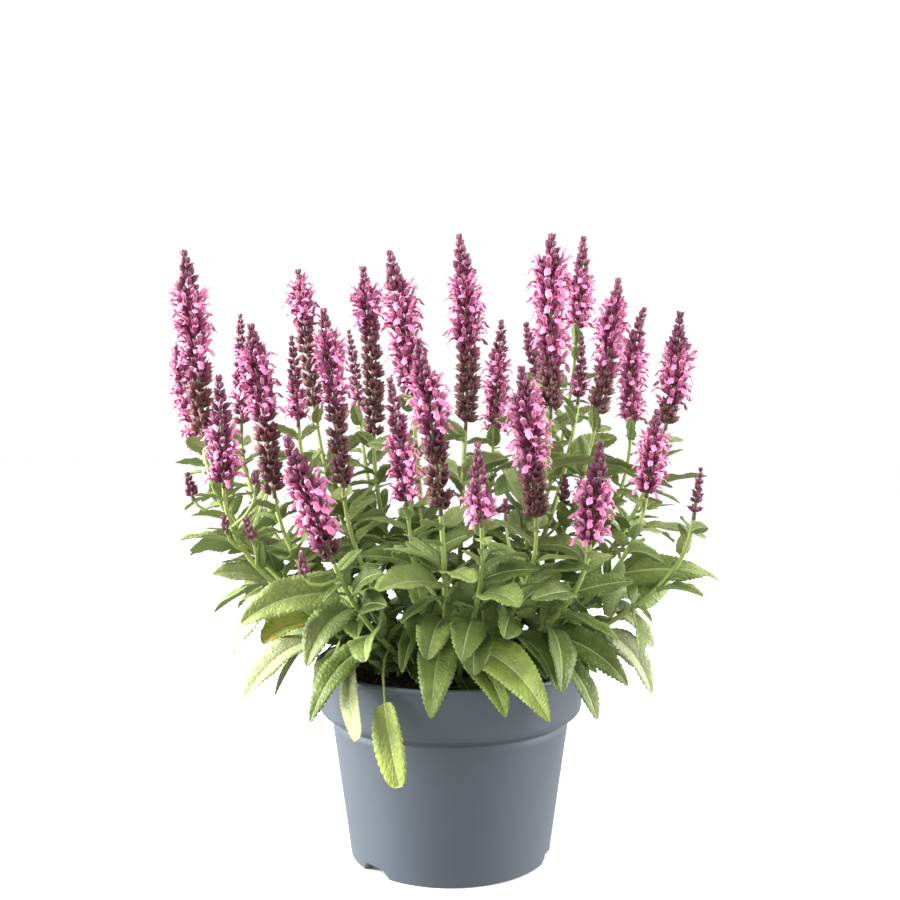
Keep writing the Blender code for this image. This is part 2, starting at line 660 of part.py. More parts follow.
def place_pairs(placed, stems, growths, draw):
    """The opposite pairs down each stem, each turned a quarter from the last and moved until clear."""
    for level, (distance, length, droop) in enumerate(PAIRS):
        for owner, stem in enumerate(stems):
            spread = draw.uniform(-1.0, 1.0, 6)
            run = stem.below(distance + PAIR_SHIFT * spread[0] * (level > 0))
            if run < LEAST_RUN or stem.at(run)[0][2] < LOWEST_ROOT:
                continue
            point, along, radius = stem.at(run)
            sink = np.array((0.0, 0.0, droop * (1.0 + DROOP_VARIETY * spread[5])))
            for half in (0, 1):
                face = (level + 2 * half) % 4
                look = stem.facing(along, face)
                beside = np.cross(along, look)
                root = point + look * (FLAT_SHARE * radius)
                for scale, tilt, turn in PAIR_TRIES:
                    size = length * scale * (1.0 + PAIR_VARIETY * spread[1 + half])
                    out = math.cos(math.radians(turn)) * look + math.sin(math.radians(turn)) * beside
                    angle = math.radians(PAIR_TILT + tilt)
                    start = unit(math.cos(angle) * along + math.sin(angle) * out)
                    end = unit(start - sink)
                    bend = root + BEND_SHARES[0] * size * start
                    tip = bend + BEND_SHARES[1] * size * end
                    roll = outward_roll(root, tip) + ROLL_VARIETY * spread[3 + half]
                    leaf = Leaf(owner, run, face, root, bend, tip, LEAF_ASPECT * size, roll)
                    if try_growth(placed, leaf, growths):
                        break


def lay_out():
    """The stems and all that grows on them, with nothing crossing anything else."""
    draw = np.random.default_rng(SEED)
    placed = Placed()
    placed.add(pot_keepout(), POT)
    for number, shoot in enumerate(SHOOTS):
        placed.add(spike_keepout(shoot), f"spike {number}")
    stems = place_stems(placed, draw)
    growths = []
    place_outline_leaves(placed, stems, growths)
    place_side_shoots(placed, stems, growths)
    place_pairs(placed, stems, growths, draw)
    return stems, growths


def clear_scene():
    """Remove every object of the scene."""
    for thing in list(bpy.data.objects):
        bpy.data.objects.remove(thing, do_unlink=True)


def new_collection(name):
    """A collection of the scene."""
    group = bpy.data.collections.new(name)
    bpy.context.scene.collection.children.link(group)
    return group


def finish(name, colour, roughness):
    """A plain material of one colour."""
    material = bpy.data.materials.new(name)
    material.use_nodes = True
    shader = material.node_tree.nodes["Principled BSDF"]
    shader.inputs["Base Color"].default_value = (*colour, 1.0)
    shader.inputs["Roughness"].default_value = roughness
    shader.inputs["Metallic"].default_value = 0.0
    material.diffuse_color = (*colour, 1.0)
    return material


def add_mesh(name, points, edges, faces, group, material):
    """An object from points in millimetres, edges and faces."""
    mesh = bpy.data.meshes.new(name)
    mesh.from_pydata((np.asarray(points) * MM).tolist(), edges, faces)
    mesh.update()
    mesh.materials.append(material)
    thing = bpy.data.objects.new(name, mesh)
    group.objects.link(thing)
    return thing


def turned(name, profile, group, material):
    """A turned solid: a profile in millimetres, from the top centre down its outside, spun round Z."""
    points = [(radius, 0.0, height) for radius, height in profile]
    edges = [(number, number + 1) for number in range(len(points) - 1)]
    thing = add_mesh(name, points, edges, [], group, material)
    screw = thing.modifiers.new("Turn", "SCREW")
    screw.axis = "Z"
    screw.angle = 2 * math.pi
    screw.steps = POT_SIDES
    screw.render_steps = POT_SIDES
    screw.use_merge_vertices = True
    screw.merge_threshold = 0.00005
    screw.use_smooth_shade = True
    return thing


def pot_profiles():
    """The pot's outside and inside, as radius and height, the outside from the rim down and the inside up."""
    slope = (NECK_RADIUS - FOOT_RADIUS) / NECK_HEIGHT
    collar = RIM_RADIUS - LIP_PROUD
    floor_top = FLOOR_HEIGHT + WALL
    outside = [
        (RIM_RADIUS, RIM_HEIGHT - EDGE),
        (RIM_RADIUS, RIM_HEIGHT - LIP_HEIGHT),
        (collar, RIM_HEIGHT - LIP_HEIGHT - EDGE),
        (SHOULDER_RADIUS, SHOULDER_HEIGHT + 2 * EDGE),
        (SHOULDER_RADIUS - 2 * EDGE, SHOULDER_HEIGHT - EDGE),
        (NECK_RADIUS + EDGE, NECK_HEIGHT + EDGE),
        (NECK_RADIUS, NECK_HEIGHT - EDGE),
        (FOOT_RADIUS + 2 * EDGE * slope, 2 * EDGE),
        (FOOT_RADIUS - EDGE, 0.0),
    ]
    inside = [
        (CENTRE_FOOT_RADIUS, WALL),
        (CENTRE_FOOT_RADIUS + 2 * EDGE, floor_top),
        (FOOT_RADIUS + floor_top * slope - WALL, floor_top),
        (NECK_RADIUS - WALL, NECK_HEIGHT + EDGE),
        (SHOULDER_RADIUS - WALL, SHOULDER_HEIGHT + 2 * EDGE),
        (RIM_RADIUS - LIP_PROUD - WALL, RIM_HEIGHT),
    ]
    return outside, inside


def cutter(name, group):
    """Take the object that was just added as a cutter, drawn as wire and left out of renders."""
    thing = bpy.context.object
    thing.name = name
    for old in list(thing.users_collection):
        old.objects.unlink(thing)
    group.objects.link(thing)
    thing.hide_render = True
    thing.display_type = "WIRE"
    return thing


def cut(thing, group):
    """Cut a collection's objects out of the thing."""
    boolean = thing.modifiers.new("Cut", "BOOLEAN")
    boolean.operation = "DIFFERENCE"
    boolean.operand_type = "COLLECTION"
    boolean.collection = group


def build_pot(plant, cutters):
    """The nursery pot: a thin-walled turned shell with notches in its skirt and drain holes in its floor."""
    outside, inside = pot_profiles()
    under = [
        (FOOT_RADIUS - EDGE - WALL, 0.0),
        (FOOT_RADIUS - WALL, FLOOR_HEIGHT),
        (CENTRE_FOOT_RADIUS + WALL + 2 * EDGE, FLOOR_HEIGHT),
        (CENTRE_FOOT_RADIUS + WALL, 0.0),
        (0.0, 0.0),
    ]
    profile = [(0.0, WALL), *inside, *outside, *under]
    pot = turned("pot", profile, plant, finish("pot plastic", (0.13, 0.16, 0.19), 0.55))
    group = bpy.data.collections.new("pot cutters")
    cutters.children.link(group)
    for number, azimuth in enumerate(NOTCH_AZIMUTHS):
        bpy.ops.mesh.primitive_cube_add(size=1.0)
        notch = cutter(f"notch {number}", group)
        for corner in notch.data.vertices:
            share = NOTCH_TOP_SHARE if corner.co.z > 0 else 1.0
            corner.co.x *= NOTCH_WIDTH * share * MM
            corner.co.y = (-FOOT_RADIUS + NOTCH_DEPTH * corner.co.y) * MM
            corner.co.z = (NOTCH_HEIGHT if corner.co.z > 0 else -NOTCH_HEIGHT) * MM
        notch.rotation_euler.z = math.radians(azimuth)
    for number in range(DRAINS):
        turn = math.radians(NOTCH_AZIMUTHS[0] - 90.0 + 360.0 / DRAINS * number)
        place = (DRAIN_CIRCLE * math.cos(turn) * MM, DRAIN_CIRCLE * math.sin(turn) * MM, FLOOR_HEIGHT * MM)
        bpy.ops.mesh.primitive_cylinder_add(
            vertices=6, radius=DRAIN_RADIUS * MM, depth=DRAIN_DEPTH * MM, location=place
        )
        cutter(f"drain {number}", group)
    cut(pot, group)
    return pot


def build_soil(plant, cutters, stems):
    """The compost: it fills the pot up to its collar, with a plain hole for each stem."""
    _, inside = pot_profiles()
    well, floor_edge, corner, neck, shoulder, rim = inside
    collar_radius = np.interp(SOIL_RIM_HEIGHT, (shoulder[1], rim[1]), (shoulder[0], rim[0]))
    profile = [
        (0.0, SOIL_CROWN_HEIGHT),
        (CROWN_RADIUS, SOIL_CROWN_HEIGHT - EDGE),
        (collar_radius - SOIL_GAP, SOIL_RIM_HEIGHT),
        (shoulder[0] - SOIL_GAP, shoulder[1]),
        (neck[0] - SOIL_GAP, neck[1]),
        (corner[0] - SOIL_GAP, corner[1] + SOIL_GAP),
        (floor_edge[0] - SOIL_GAP, floor_edge[1] + SOIL_GAP),
        (well[0] - SOIL_GAP, well[1] + SOIL_GAP),
        (0.0, well[1] + SOIL_GAP),
    ]
    soil = turned("soil", profile, plant, finish("compost", (0.035, 0.024, 0.018), 0.95))
    group = bpy.data.collections.new("soil cutters")
    cutters.children.link(group)
    for number, stem in enumerate(stems):
        middle = FOOT_HEIGHT - SOIL_GAP + 0.5 * HOLE_DEPTH
        bpy.ops.mesh.primitive_cylinder_add(
            vertices=HOLE_SIDES,
            radius=HOLE_RADIUS * MM,
            depth=HOLE_DEPTH * MM,
            location=(stem.points[0][0] * MM, stem.points[0][1] * MM, middle * MM),
        )
        cutter(f"stem hole {number}", group)
    cut(soil, group)
    return soil


def spike_shape(shoot):
    """A spike of whorls as one surface round its axis.

    The surface is a tube of eight columns. Each whorl is a narrow ring and, above it, a ring that flares
    out and up to four points, with hollows between them, and every whorl is turned an eighth from the last.
    """
    axis_points = arc_of((shoot.base, shoot.middle, shoot.tip), np.linspace(0.0, 1.0, 60))
    length = np.linalg.norm(np.diff(axis_points, axis=0), axis=1).sum()
    tiers = max(3, round(length / TIER_SPACING))
    start = SPIKE_GAP / length
    shares = []
    radii = []
    for tier in range(tiers):
        reach = spike_reach(shoot, (tier + 0.7) / tiers)
        points = np.arange(SPIKE_SIDES) % 2 == tier % 2
        neck = STEM_RADIUS_TOP + 0.2 if tier == 0 else min(SPIKE_CORE * shoot.girth, 0.5 * reach)
        flare = np.where(points, *TIER_HEIGHTS)
        shares += [np.full(SPIKE_SIDES, max(tier / tiers, start)), (tier + flare) / tiers]
        radii += [np.full(SPIKE_SIDES, neck), reach * np.where(points, 1.0, TIER_NOTCH)]
    shares = np.array(shares)
    turn = np.arange(SPIKE_SIDES) * (2 * math.pi / SPIKE_SIDES)
    centres = arc_of((shoot.base, shoot.middle, shoot.tip), shares)
    side, other = across_frame(unit(np.array(shoot.tip, float) - shoot.base))
    ring = np.cos(turn)[:, None] * side + np.sin(turn)[:, None] * other
    points = (centres + np.array(radii)[..., None] * ring).reshape(-1, 3)
    return closed_at_tip(np.vstack([points, shoot.tip]), len(shares), SPIKE_SIDES)


def build():
    """Build the whole plant in its pot."""
    clear_scene()
    plant = new_collection("potted woodland sage")
    cutters = new_collection("cutters")
    stems, growths = lay_out()
    build_pot(plant, cutters)
    build_soil(plant, cutters, stems)
    for number, shoot in enumerate(SHOOTS):
        green = finish(f"stem {shoot.name} green", (0.17, 0.27, 0.08), 0.6)
        petals = finish(f"spike {shoot.name} pink", (0.50, 0.10, 0.26), 0.6)
        own = [growth for growth in growths if growth.owner == number]
        stalk, stalk_faces = leafy_stem(stems[number], own)
        spike, spike_faces = spike_shape(shoot)
        add_mesh(f"stem_{shoot.name}", stalk, [], stalk_faces, plant, green)
        add_mesh(f"spike_{shoot.name}", spike, [], spike_faces, plant, petals)


build()
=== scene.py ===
"""Looks of a potted woodland sage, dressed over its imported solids.

Every solid of the frame is replaced by a finer piece on the same spot. The plant's layout is worked out by
the rule that placed the solids, from the same shoots, sizes and seed, so each leaf and flower spike lies
where its solid does. Sizes and places are millimetres, and MM turns them into the frame's metres.
"""

from __future__ import annotations

import logging
import math
from dataclasses import dataclass, field, fields, replace
from enum import Enum
from itertools import product
from typing import Iterable, Sequence

import bpy
import numpy as np
from mathutils.bvhtree import BVHTree
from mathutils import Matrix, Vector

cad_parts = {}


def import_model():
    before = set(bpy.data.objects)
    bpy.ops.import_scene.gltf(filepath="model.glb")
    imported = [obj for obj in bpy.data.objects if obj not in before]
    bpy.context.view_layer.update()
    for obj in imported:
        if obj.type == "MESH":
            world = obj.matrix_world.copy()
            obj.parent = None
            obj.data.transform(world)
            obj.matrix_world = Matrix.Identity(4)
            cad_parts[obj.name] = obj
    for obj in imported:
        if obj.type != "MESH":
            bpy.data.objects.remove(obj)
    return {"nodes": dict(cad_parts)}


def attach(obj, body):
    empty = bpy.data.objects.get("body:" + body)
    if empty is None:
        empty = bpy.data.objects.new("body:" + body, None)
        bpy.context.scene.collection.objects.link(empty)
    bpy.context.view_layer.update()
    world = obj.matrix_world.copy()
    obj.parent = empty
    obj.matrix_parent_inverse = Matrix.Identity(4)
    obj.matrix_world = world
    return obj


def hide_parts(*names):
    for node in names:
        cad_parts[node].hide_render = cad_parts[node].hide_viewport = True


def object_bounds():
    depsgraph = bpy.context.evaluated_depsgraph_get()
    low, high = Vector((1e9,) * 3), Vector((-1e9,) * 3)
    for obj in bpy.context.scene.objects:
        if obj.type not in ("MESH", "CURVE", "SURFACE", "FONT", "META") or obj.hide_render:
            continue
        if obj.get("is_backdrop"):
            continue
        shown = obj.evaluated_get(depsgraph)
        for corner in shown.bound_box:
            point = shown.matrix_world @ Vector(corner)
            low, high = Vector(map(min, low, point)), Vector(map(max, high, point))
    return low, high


LOG = logging.getLogger("sage")
MM = 0.001
SEED = 11
BODY = "root"

Array = np.ndarray
Faces = list[tuple[int, ...]]
Shape = tuple[Array, Faces]
Colour = Point = tuple[float, float, float]
Span = tuple[float, float]
Socket = bpy.types.NodeSocket
Material = bpy.types.Material


class Slot(Enum):
    """The material slots of the record."""

    POT = "pot"
    SOIL = "soil"
    FOLIAGE = "foliage"
    FLOWERS = "flowers"


@dataclass(frozen=True)
class Shoot:
    """A leafy stem with a flower spike: three points of the spike's axis, its blooming stretch and girth."""

    name: str
    base: Point
    middle: Point
    tip: Point
    bloom: Span
    girth: float

    def axis(self, share: Sequence[float]) -> Array:
        """Follow the axis: a quadratic Bezier whose pull point makes it pass through its middle.

        Args:
            share: Shares from 0 to 1 of the curve's parameter.

        Returns:
            One point for each share.
        """
        base, middle, tip = (np.array(point, float) for point in (self.base, self.middle, self.tip))
        return bezier(base, 2.0 * middle - 0.5 * (base + tip), tip, np.array(share, float)[:, None])


@dataclass(frozen=True)
class Wish:
    """A listed leaf that is wished for: its root, tip, width, arch, bare stalk's share, sideways lean and
    tones.
    """

    root: Point
    tip: Point
    width: float
    arch: float
    stalk: float = 0.0
    lean: float = 0.0
    age: float = 0.05
    pale: float = 0.0


@dataclass(frozen=True)
class Leaf:
    """A leaf on its stem: where it grows, the points that bend its midrib, its width, roll and tones."""

    owner: int
    place: float
    face: int
    root: Array
    bend: Array
    tip: Array
    width: float
    roll: float
    stalk: float = 0.0
    age: float = 0.0
    pale: float = 0.0


@dataclass(frozen=True)
class SideShoot:
    """A short shoot on a stem: where it grows, its line, and the tip of its bud head."""

    owner: int
    place: float
    face: int
    line: Array
    tip: Array


SHOOTS = (
    Shoot("01", (-182, 35, 279), (-195, 45, 319), (-205, 50, 362), (0.05, 0.92), 0.80),
    Shoot("02", (-173, -5, 292), (-177, -12, 364), (-182, -20, 422), (0.42, 0.79), 1.00),
    Shoot("03", (-161, 75, 294), (-162, 80, 343), (-163, 85, 388), (0.27, 0.43), 0.72),
    Shoot("04", (-150, -50, 261), (-149, -60, 299), (-150, -65, 336), (0.03, 0.57), 0.90),
    Shoot("05", (-120, -25, 252), (-127, -30, 312), (-134, -35, 371), (0.50, 0.85), 0.98),
    Shoot("06", (-101, 50, 310), (-108, 55, 364), (-115, 60, 419), (0.64, 0.92), 0.88),
    Shoot("07", (-109, 15, 300), (-111, 15, 334), (-114, 15, 367), (0.00, 0.45), 0.70),
    Shoot("08", (-74, -85, 216), (-87, -100, 257), (-100, -110, 298), (0.25, 0.71), 1.02),
    Shoot("09", (-73, -30, 260), (-78, -35, 321), (-85, -40, 381), (0.54, 0.86), 0.90),
    Shoot("10", (-71, 90, 308), (-75, 95, 343), (-81, 100, 377), (0.00, 0.28), 0.66),
    Shoot("11", (-58, 60, 292), (-60, 65, 357), (-67, 70, 422), (0.68, 0.88), 0.95),
    Shoot("12", (-27, 10, 319), (-33, 15, 369), (-44, 20, 427), (0.13, 0.73), 1.05),
    Shoot("13", (-29, -45, 248), (-34, -50, 293), (-40, -55, 335), (0.00, 0.60), 0.82),
    Shoot("14", (-6, -85, 246), (-12, -95, 306), (-21, -105, 357), (0.52, 0.78), 0.98),
    Shoot("15", (11, 35, 297), (12, 45, 371), (6, 50, 443), (0.46, 0.76), 1.05),
    Shoot("16", (19, -105, 241), (17, -115, 268), (16, -120, 295), (0.02, 0.50), 0.82),
    Shoot("17", (34, 95, 290), (37, 105, 335), (41, 110, 385), (0.07, 0.69), 0.85),
    Shoot("18", (54, -85, 245), (49, -95, 294), (43, -105, 340), (0.37, 0.80), 1.00),
    Shoot("19", (69, 75, 335), (63, 80, 358), (58, 85, 381), (0.00, 0.00), 0.85),
    Shoot("20", (70, -5, 306), (70, -5, 371), (70, -5, 435), (0.37, 0.86), 1.12),
    Shoot("21", (88, -85, 228), (90, -95, 262), (92, -105, 294), (0.02, 0.65), 0.95),
    Shoot("22", (95, 50, 316), (98, 55, 342), (99, 60, 370), (0.20, 0.40), 0.66),
    Shoot("23", (99, 90, 371), (102, 95, 410), (105, 100, 449), (0.00, 0.59), 0.95),
    Shoot("24", (106, 25, 305), (116, 30, 359), (123, 35, 409), (0.40, 0.83), 0.98),
    Shoot("25", (133, -30, 253), (136, -35, 284), (138, -40, 314), (0.00, 0.80), 0.86),
    Shoot("26", (138, 70, 297), (142, 80, 358), (152, 85, 392), (0.00, 0.68), 0.88),
    Shoot("27", (151, 0, 298), (158, 0, 340), (161, 0, 382), (0.30, 0.69), 0.95),
    Shoot("28", (161, -50, 240), (163, -52, 259), (165, -56, 277), (0.00, 0.00), 0.62),
)

OUTLINE_LEAVES = (
    Wish((113, -20, 195), (172, -40, 197), 26.0, 6.0, lean=-0.8),
    Wish((9, -75, 142), (60, -122, 124), 27.0, 14.0, lean=-0.3, age=0.42),
    Wish((-27, -70, 143), (-31, -109, 80), 22.0, 26.0, stalk=0.46, age=0.60, pale=0.10),
    Wish((-48, -70, 143), (-86, -112, 121), 22.0, 12.0, lean=0.3, age=0.12),
    Wish((-84, -60, 147), (-130, -90, 130), 27.0, 10.0, stalk=0.12, lean=0.6, age=0.45, pale=0.60),
    Wish((-90, -60, 193), (-131, -95, 179), 26.0, 8.0, lean=0.5, age=0.03),
    Wish((-144, -45, 220), (-177, -60, 227), 19.0, 4.0, lean=0.3),
    Wish((-132, -30, 190), (-160, -42, 208), 19.0, 3.0, lean=0.6, age=0.15, pale=0.25),
    Wish((101, -30, 161), (135, -45, 122), 20.0, 8.0, lean=-0.6, age=0.15, pale=0.70),
    Wish((73, -60, 148), (113, -84, 137), 23.0, 8.0, lean=-0.5, age=0.12),
    Wish((93, -30, 178), (130, -40, 161), 21.0, 8.0, lean=-0.6, age=0.12, pale=0.50),
    Wish((-102, -20, 155), (-133, -40, 145), 20.0, 6.0, lean=0.7, age=0.97),
    Wish((-129, -20, 173), (-148, -40, 147), 24.0, 8.0, lean=0.7, age=0.40, pale=0.90),
    Wish((-2, -88, 192), (-44, -115, 203), 25.0, 5.0),
    Wish((-2, -88, 192), (42, -115, 193), 25.0, 6.0),
    Wish((-36, -70, 144), (-12, -114, 124), 26.0, 14.0, age=0.20),
    Wish((-45, -70, 145), (-56, -113, 111), 18.0, 18.0, stalk=0.30, age=0.50, pale=0.45),
    Wish((-68, -70, 182), (-90, -96, 152), 24.0, 8.0, lean=0.4, age=0.25, pale=0.10),
    Wish((60, -80, 161), (68, -108, 138), 23.0, 8.0),
    Wish((150, -15, 226), (177, -18, 224), 12.0, 3.0),
    Wish((-66, -70, 195), (-42, -97, 211), 20.0, 5.0),
    Wish((70, 40, 150), (104, 84, 132), 24.0, 10.0, age=0.30),
    Wish((10, 60, 148), (16, 112, 128), 25.0, 12.0, age=0.20),
    Wish((-50, 50, 150), (-82, 92, 136), 24.0, 10.0, age=0.50),
    Wish((-90, 30, 165), (-136, 52, 152), 23.0, 8.0, age=0.30),
    Wish((100, 40, 180), (142, 66, 170), 23.0, 8.0),
    Wish((-6, -45, 144), (-8, -98, 130), 24.0, 12.0, age=0.20),
    Wish((26, -45, 144), (34, -102, 133), 24.0, 12.0, age=0.30),
    Wish((-20, 45, 146), (-38, 102, 134), 24.0, 12.0, age=0.40),
    Wish((42, 40, 146), (64, 98, 134), 24.0, 12.0, age=0.30),
    Wish((-55, 15, 148), (-110, 46, 142), 24.0, 10.0, age=0.50),
    Wish((60, 10, 150), (116, 30, 140), 24.0, 10.0, age=0.30),
    Wish((0, 30, 160), (-12, 84, 156), 25.0, 12.0),
    Wish((-30, 20, 166), (-66, 66, 160), 25.0, 12.0),
)

FRONT_LEAVES = (
    Wish((45, -60, 154), (74, -106, 148), 22.0, 12.0, age=0.20),
    Wish((60, -55, 152), (84, -100, 128), 22.0, 10.0, age=0.10),
    Wish((-62, -50, 152), (-78, -98, 134), 24.0, 10.0, age=0.30, pale=0.10),
    Wish((30, -60, 165), (14, -112, 150), 24.0, 10.0),
    Wish((-30, -60, 170), (-52, -108, 158), 24.0, 10.0, age=0.05),
    Wish((0, -60, 175), (-14, -112, 166), 24.0, 8.0),
    Wish((-20, -52, 160), (-30, -96, 154), 16.0, 8.0),
)

SIDE_SHOOTS = (
    ((-127, -60, 261), (-127, -60, 275)),
    ((-147, -57, 233), (-149, -59, 246)),
    ((-130, -57, 227), (-135, -59, 244)),
    ((-90, -104, 211), (-92, -106, 227)),
    ((82, 20, 242), (83, 20, 268)),
    ((37, -40, 240), (37, -40, 255)),
    ((-180, -8, 251), (-184, -10, 271)),
)

QUARTER = 0.5 * math.pi
UP = np.array((0.0, 0.0, 1.0))
LEVEL = np.array((1.0, 1.0, 0.0))
REFERENCE = np.array((0.31, 0.95, 0.05))
NO_LIMIT = 1e9


def unit(vector: Array) -> Array:
    """Scale vectors, along their last axis, to length one."""
    return vector / np.maximum(np.linalg.norm(vector, axis=-1, keepdims=True), 1e-9)


def smooth(share: Array | float, low: float, high: float) -> Array:
    """Ease from 0 at low to 1 at high with a cubic that is level at both ends."""
    part = np.clip((np.asarray(share, float) - low) / (high - low), 0.0, 1.0)
    return part * part * (3.0 - 2.0 * part)


def around(count: int) -> Array:
    """Give evenly spaced angles of a full turn."""
    return np.arange(count) * (2 * math.pi / count)


def spun(turn: Array, side: Array, other: Array) -> Array:
    """Give the directions at angles that run from one direction to another across it."""
    return np.cos(turn)[:, None] * side + np.sin(turn)[:, None] * other


def rotated(first: Array, second: Array, angle: Array | float) -> tuple[Array, Array]:
    """Turn two directions that cross squarely by an angle, the first towards the second."""
    return np.cos(angle) * first + np.sin(angle) * second, np.cos(angle) * second - np.sin(angle) * first


def triples(first: object, second: object, third: object, like: object = 0.0) -> Array:
    """Stack three values as one triple for each point of the grid that they and a fourth one span."""
    return np.stack(np.broadcast_arrays(first, second, third, like)[:3], axis=-1)


def on_line(at: Array | float, marks: Array, rows: Array) -> Array:
    """Read rows of values, known at rising marks, at other places along them."""
    return np.stack([np.interp(at, marks, rows[:, axis]) for axis in range(3)], axis=-1)


def bezier(start: Array, pull: Array, end: Array, share: Array) -> Array:
    """Blend three points by (1 - t) squared, 2t(1 - t) and t squared, t being the share of the way."""
    return (1 - share) ** 2 * start + 2 * share * (1 - share) * pull + share**2 * end


def folded(top: Array, low: Array) -> Array:
    """Join the rows of an upper grid to those of a lower one, run back, as rings."""
    return np.concatenate([top, low[:, ::-1]], axis=1)[:, ::-1]


def lengths(points: Array) -> Array:
    """Give the distance of each point of a line from its first, along the line."""
    return np.concatenate([[0.0], np.cumsum(np.linalg.norm(np.diff(points, axis=0), axis=1))])


def in_scene(name: str, data: bpy.types.ID) -> bpy.types.Object:
    """Make an object of a mesh, light or camera and put it in the scene.

    Args:
        name: The object's name.
        data: What it shows.

    Returns:
        The object, at the origin.
    """
    thing = bpy.data.objects.new(name, data)
    bpy.context.scene.collection.objects.link(thing)
    return thing


def across_frame(along: Array) -> tuple[Array, Array]:
    """Give two directions across a direction, turning smoothly with it."""
    side = unit(np.cross(along, REFERENCE))
    return side, np.cross(along, side)


def level_across(chord: Array) -> Array:
    """Give the level direction across a chord, to its right."""
    return unit(np.cross(unit(chord * LEVEL), UP))


def tube_faces(rings: int, sides: int) -> Faces:
    """List the faces of a closed tube of rings with flat ends.

    Args:
        rings: How many rings it has.
        sides: How many points a ring has.

    Returns:
        Each face's point numbers, counter-clockwise from outside.
    """
    faces: Faces = [
        (r * sides + s, r * sides + (s + 1) % sides, (r + 1) * sides + (s + 1) % sides, (r + 1) * sides + s)
        for r in range(rings - 1)
        for s in range(sides)
    ]
    faces.append(tuple(range(sides))[::-1])
    faces.append(tuple((rings - 1) * sides + s for s in range(sides)))
    return faces


@dataclass
class Stem:
    """The line of a stem from its foot to its spike, with its square section turned by an angle."""

    shoot: Shoot
    foot: Array
    turn: float
    foot_height: float = 113.0
    straight_top: float = 130.0
    radius_foot: float = 2.3
    radius_top: float = 1.5
    count: int = 17
    pulls: Span = (0.38, 0.36)
    lean: float = 0.75
    place_step: float = 4.0

    def __post_init__(self) -> None:
        """Work out the stem's points: a cubic from the crown to the spike, over a straight foot."""
        base, above = self.shoot.axis((0.0, 0.05))
        rise = np.array((self.foot[0], self.foot[1], self.straight_top))
        reach = np.linalg.norm(base - rise)
        first = rise + unit((base - rise) * (1.0, 1.0, self.lean)) * (self.pulls[0] * reach)
        last = base - unit(above - base) * (self.pulls[1] * reach)
        share = np.linspace(0.0, 1.0, self.count)[:, None]
        bend = (
            (1 - share) ** 3 * rise
            + 3 * share * (1 - share) ** 2 * first
            + 3 * share**2 * (1 - share) * last
            + share**3 * base
        )
        self.points = np.vstack([(self.foot[0], self.foot[1], self.foot_height), bend])
        self.run = lengths(self.points)
        self.directions = np.gradient(self.points, self.run, axis=0)

    def at(self, run: float) -> tuple[Array, Array, float]:
        """Give the point, the direction and the section's radius at a distance from the foot."""
        radius = np.interp(run, (0.0, self.run[-1]), (self.radius_foot, self.radius_top))
        return on_line(run, self.run, self.points), unit(on_line(run, self.run, self.directions)), radius

    def below(self, distance: float) -> float:
        """Turn a distance down from the spike into one from the foot, on the stem's own lattice."""
        return self.run[-1] - max(2, round(distance / self.place_step)) * self.place_step

    def facing(self, along: Array, face: int) -> Array:
        """Give the direction that one of the four faces of the section looks in."""
        return rotated(*across_frame(along), self.turn + QUARTER * (face + 0.5))[0]

    def ring(self, run: float, grow: float = 1.0) -> Array:
        """Give the four corners of the section at a distance from the foot."""
        point, along, radius = self.at(run)
        return point + grow * radius * spun(self.turn + QUARTER * np.arange(4), *across_frame(along))

    def on_face(self, point: Array, look: Array, radius: float) -> Array:
        """Step from the stem's middle to the middle of a face, which is nearer than its corners."""
        return point + look * (math.sqrt(0.5) * radius)

    def face_towards(self, run: float, target: Array) -> tuple[int, Array, float]:
        """Find the face that looks most towards a target.

        Args:
            run: The distance from the foot.
            target: The point to look at.

        Returns:
            The face's number, the point at its middle and the cosine of its angle to the target.
        """
        point, along, radius = self.at(run)
        looks = [self.facing(along, face) @ unit(target - point) for face in range(4)]
        face = int(np.argmax(looks))
        return face, self.on_face(point, self.facing(along, face), radius), looks[face]


@dataclass
class Clearance:
    """The shapes already placed, each with its box, for testing whether a new one is clear of them."""

    trees: list[BVHTree] = field(default_factory=list)
    owners: list[str] = field(default_factory=list)
    low: Array = field(default_factory=lambda: np.empty((0, 3)))
    high: Array = field(default_factory=lambda: np.empty((0, 3)))

    def add(self, shape: Shape, owner: str) -> None:
        """Keep a shape, under its owner's name.

        Args:
            shape: Its points and faces.
            owner: The name.
        """
        points, faces = shape
        self.trees.append(BVHTree.FromPolygons(points.tolist(), faces))
        self.owners.append(owner)
        self.low = np.vstack([self.low, points.min(axis=0)])
        self.high = np.vstack([self.high, points.max(axis=0)])

    def clear(self, shape: Shape, skip: Iterable[str] = ()) -> bool:
        """Tell whether a shape crosses none of the kept ones, apart from those of the owners in skip.

        Args:
            shape: Its points and faces.
            skip: Owners whose shapes may be crossed.

        Returns:
            True where it is clear.
        """
        points, faces = shape
        near = np.all((self.low < points.max(axis=0)) & (self.high > points.min(axis=0)), axis=1)
        tree = BVHTree.FromPolygons(points.tolist(), faces)
        return not any(
            tree.overlap(self.trees[number])
            for number in np.flatnonzero(near)
            if self.owners[number] not in skip
        )


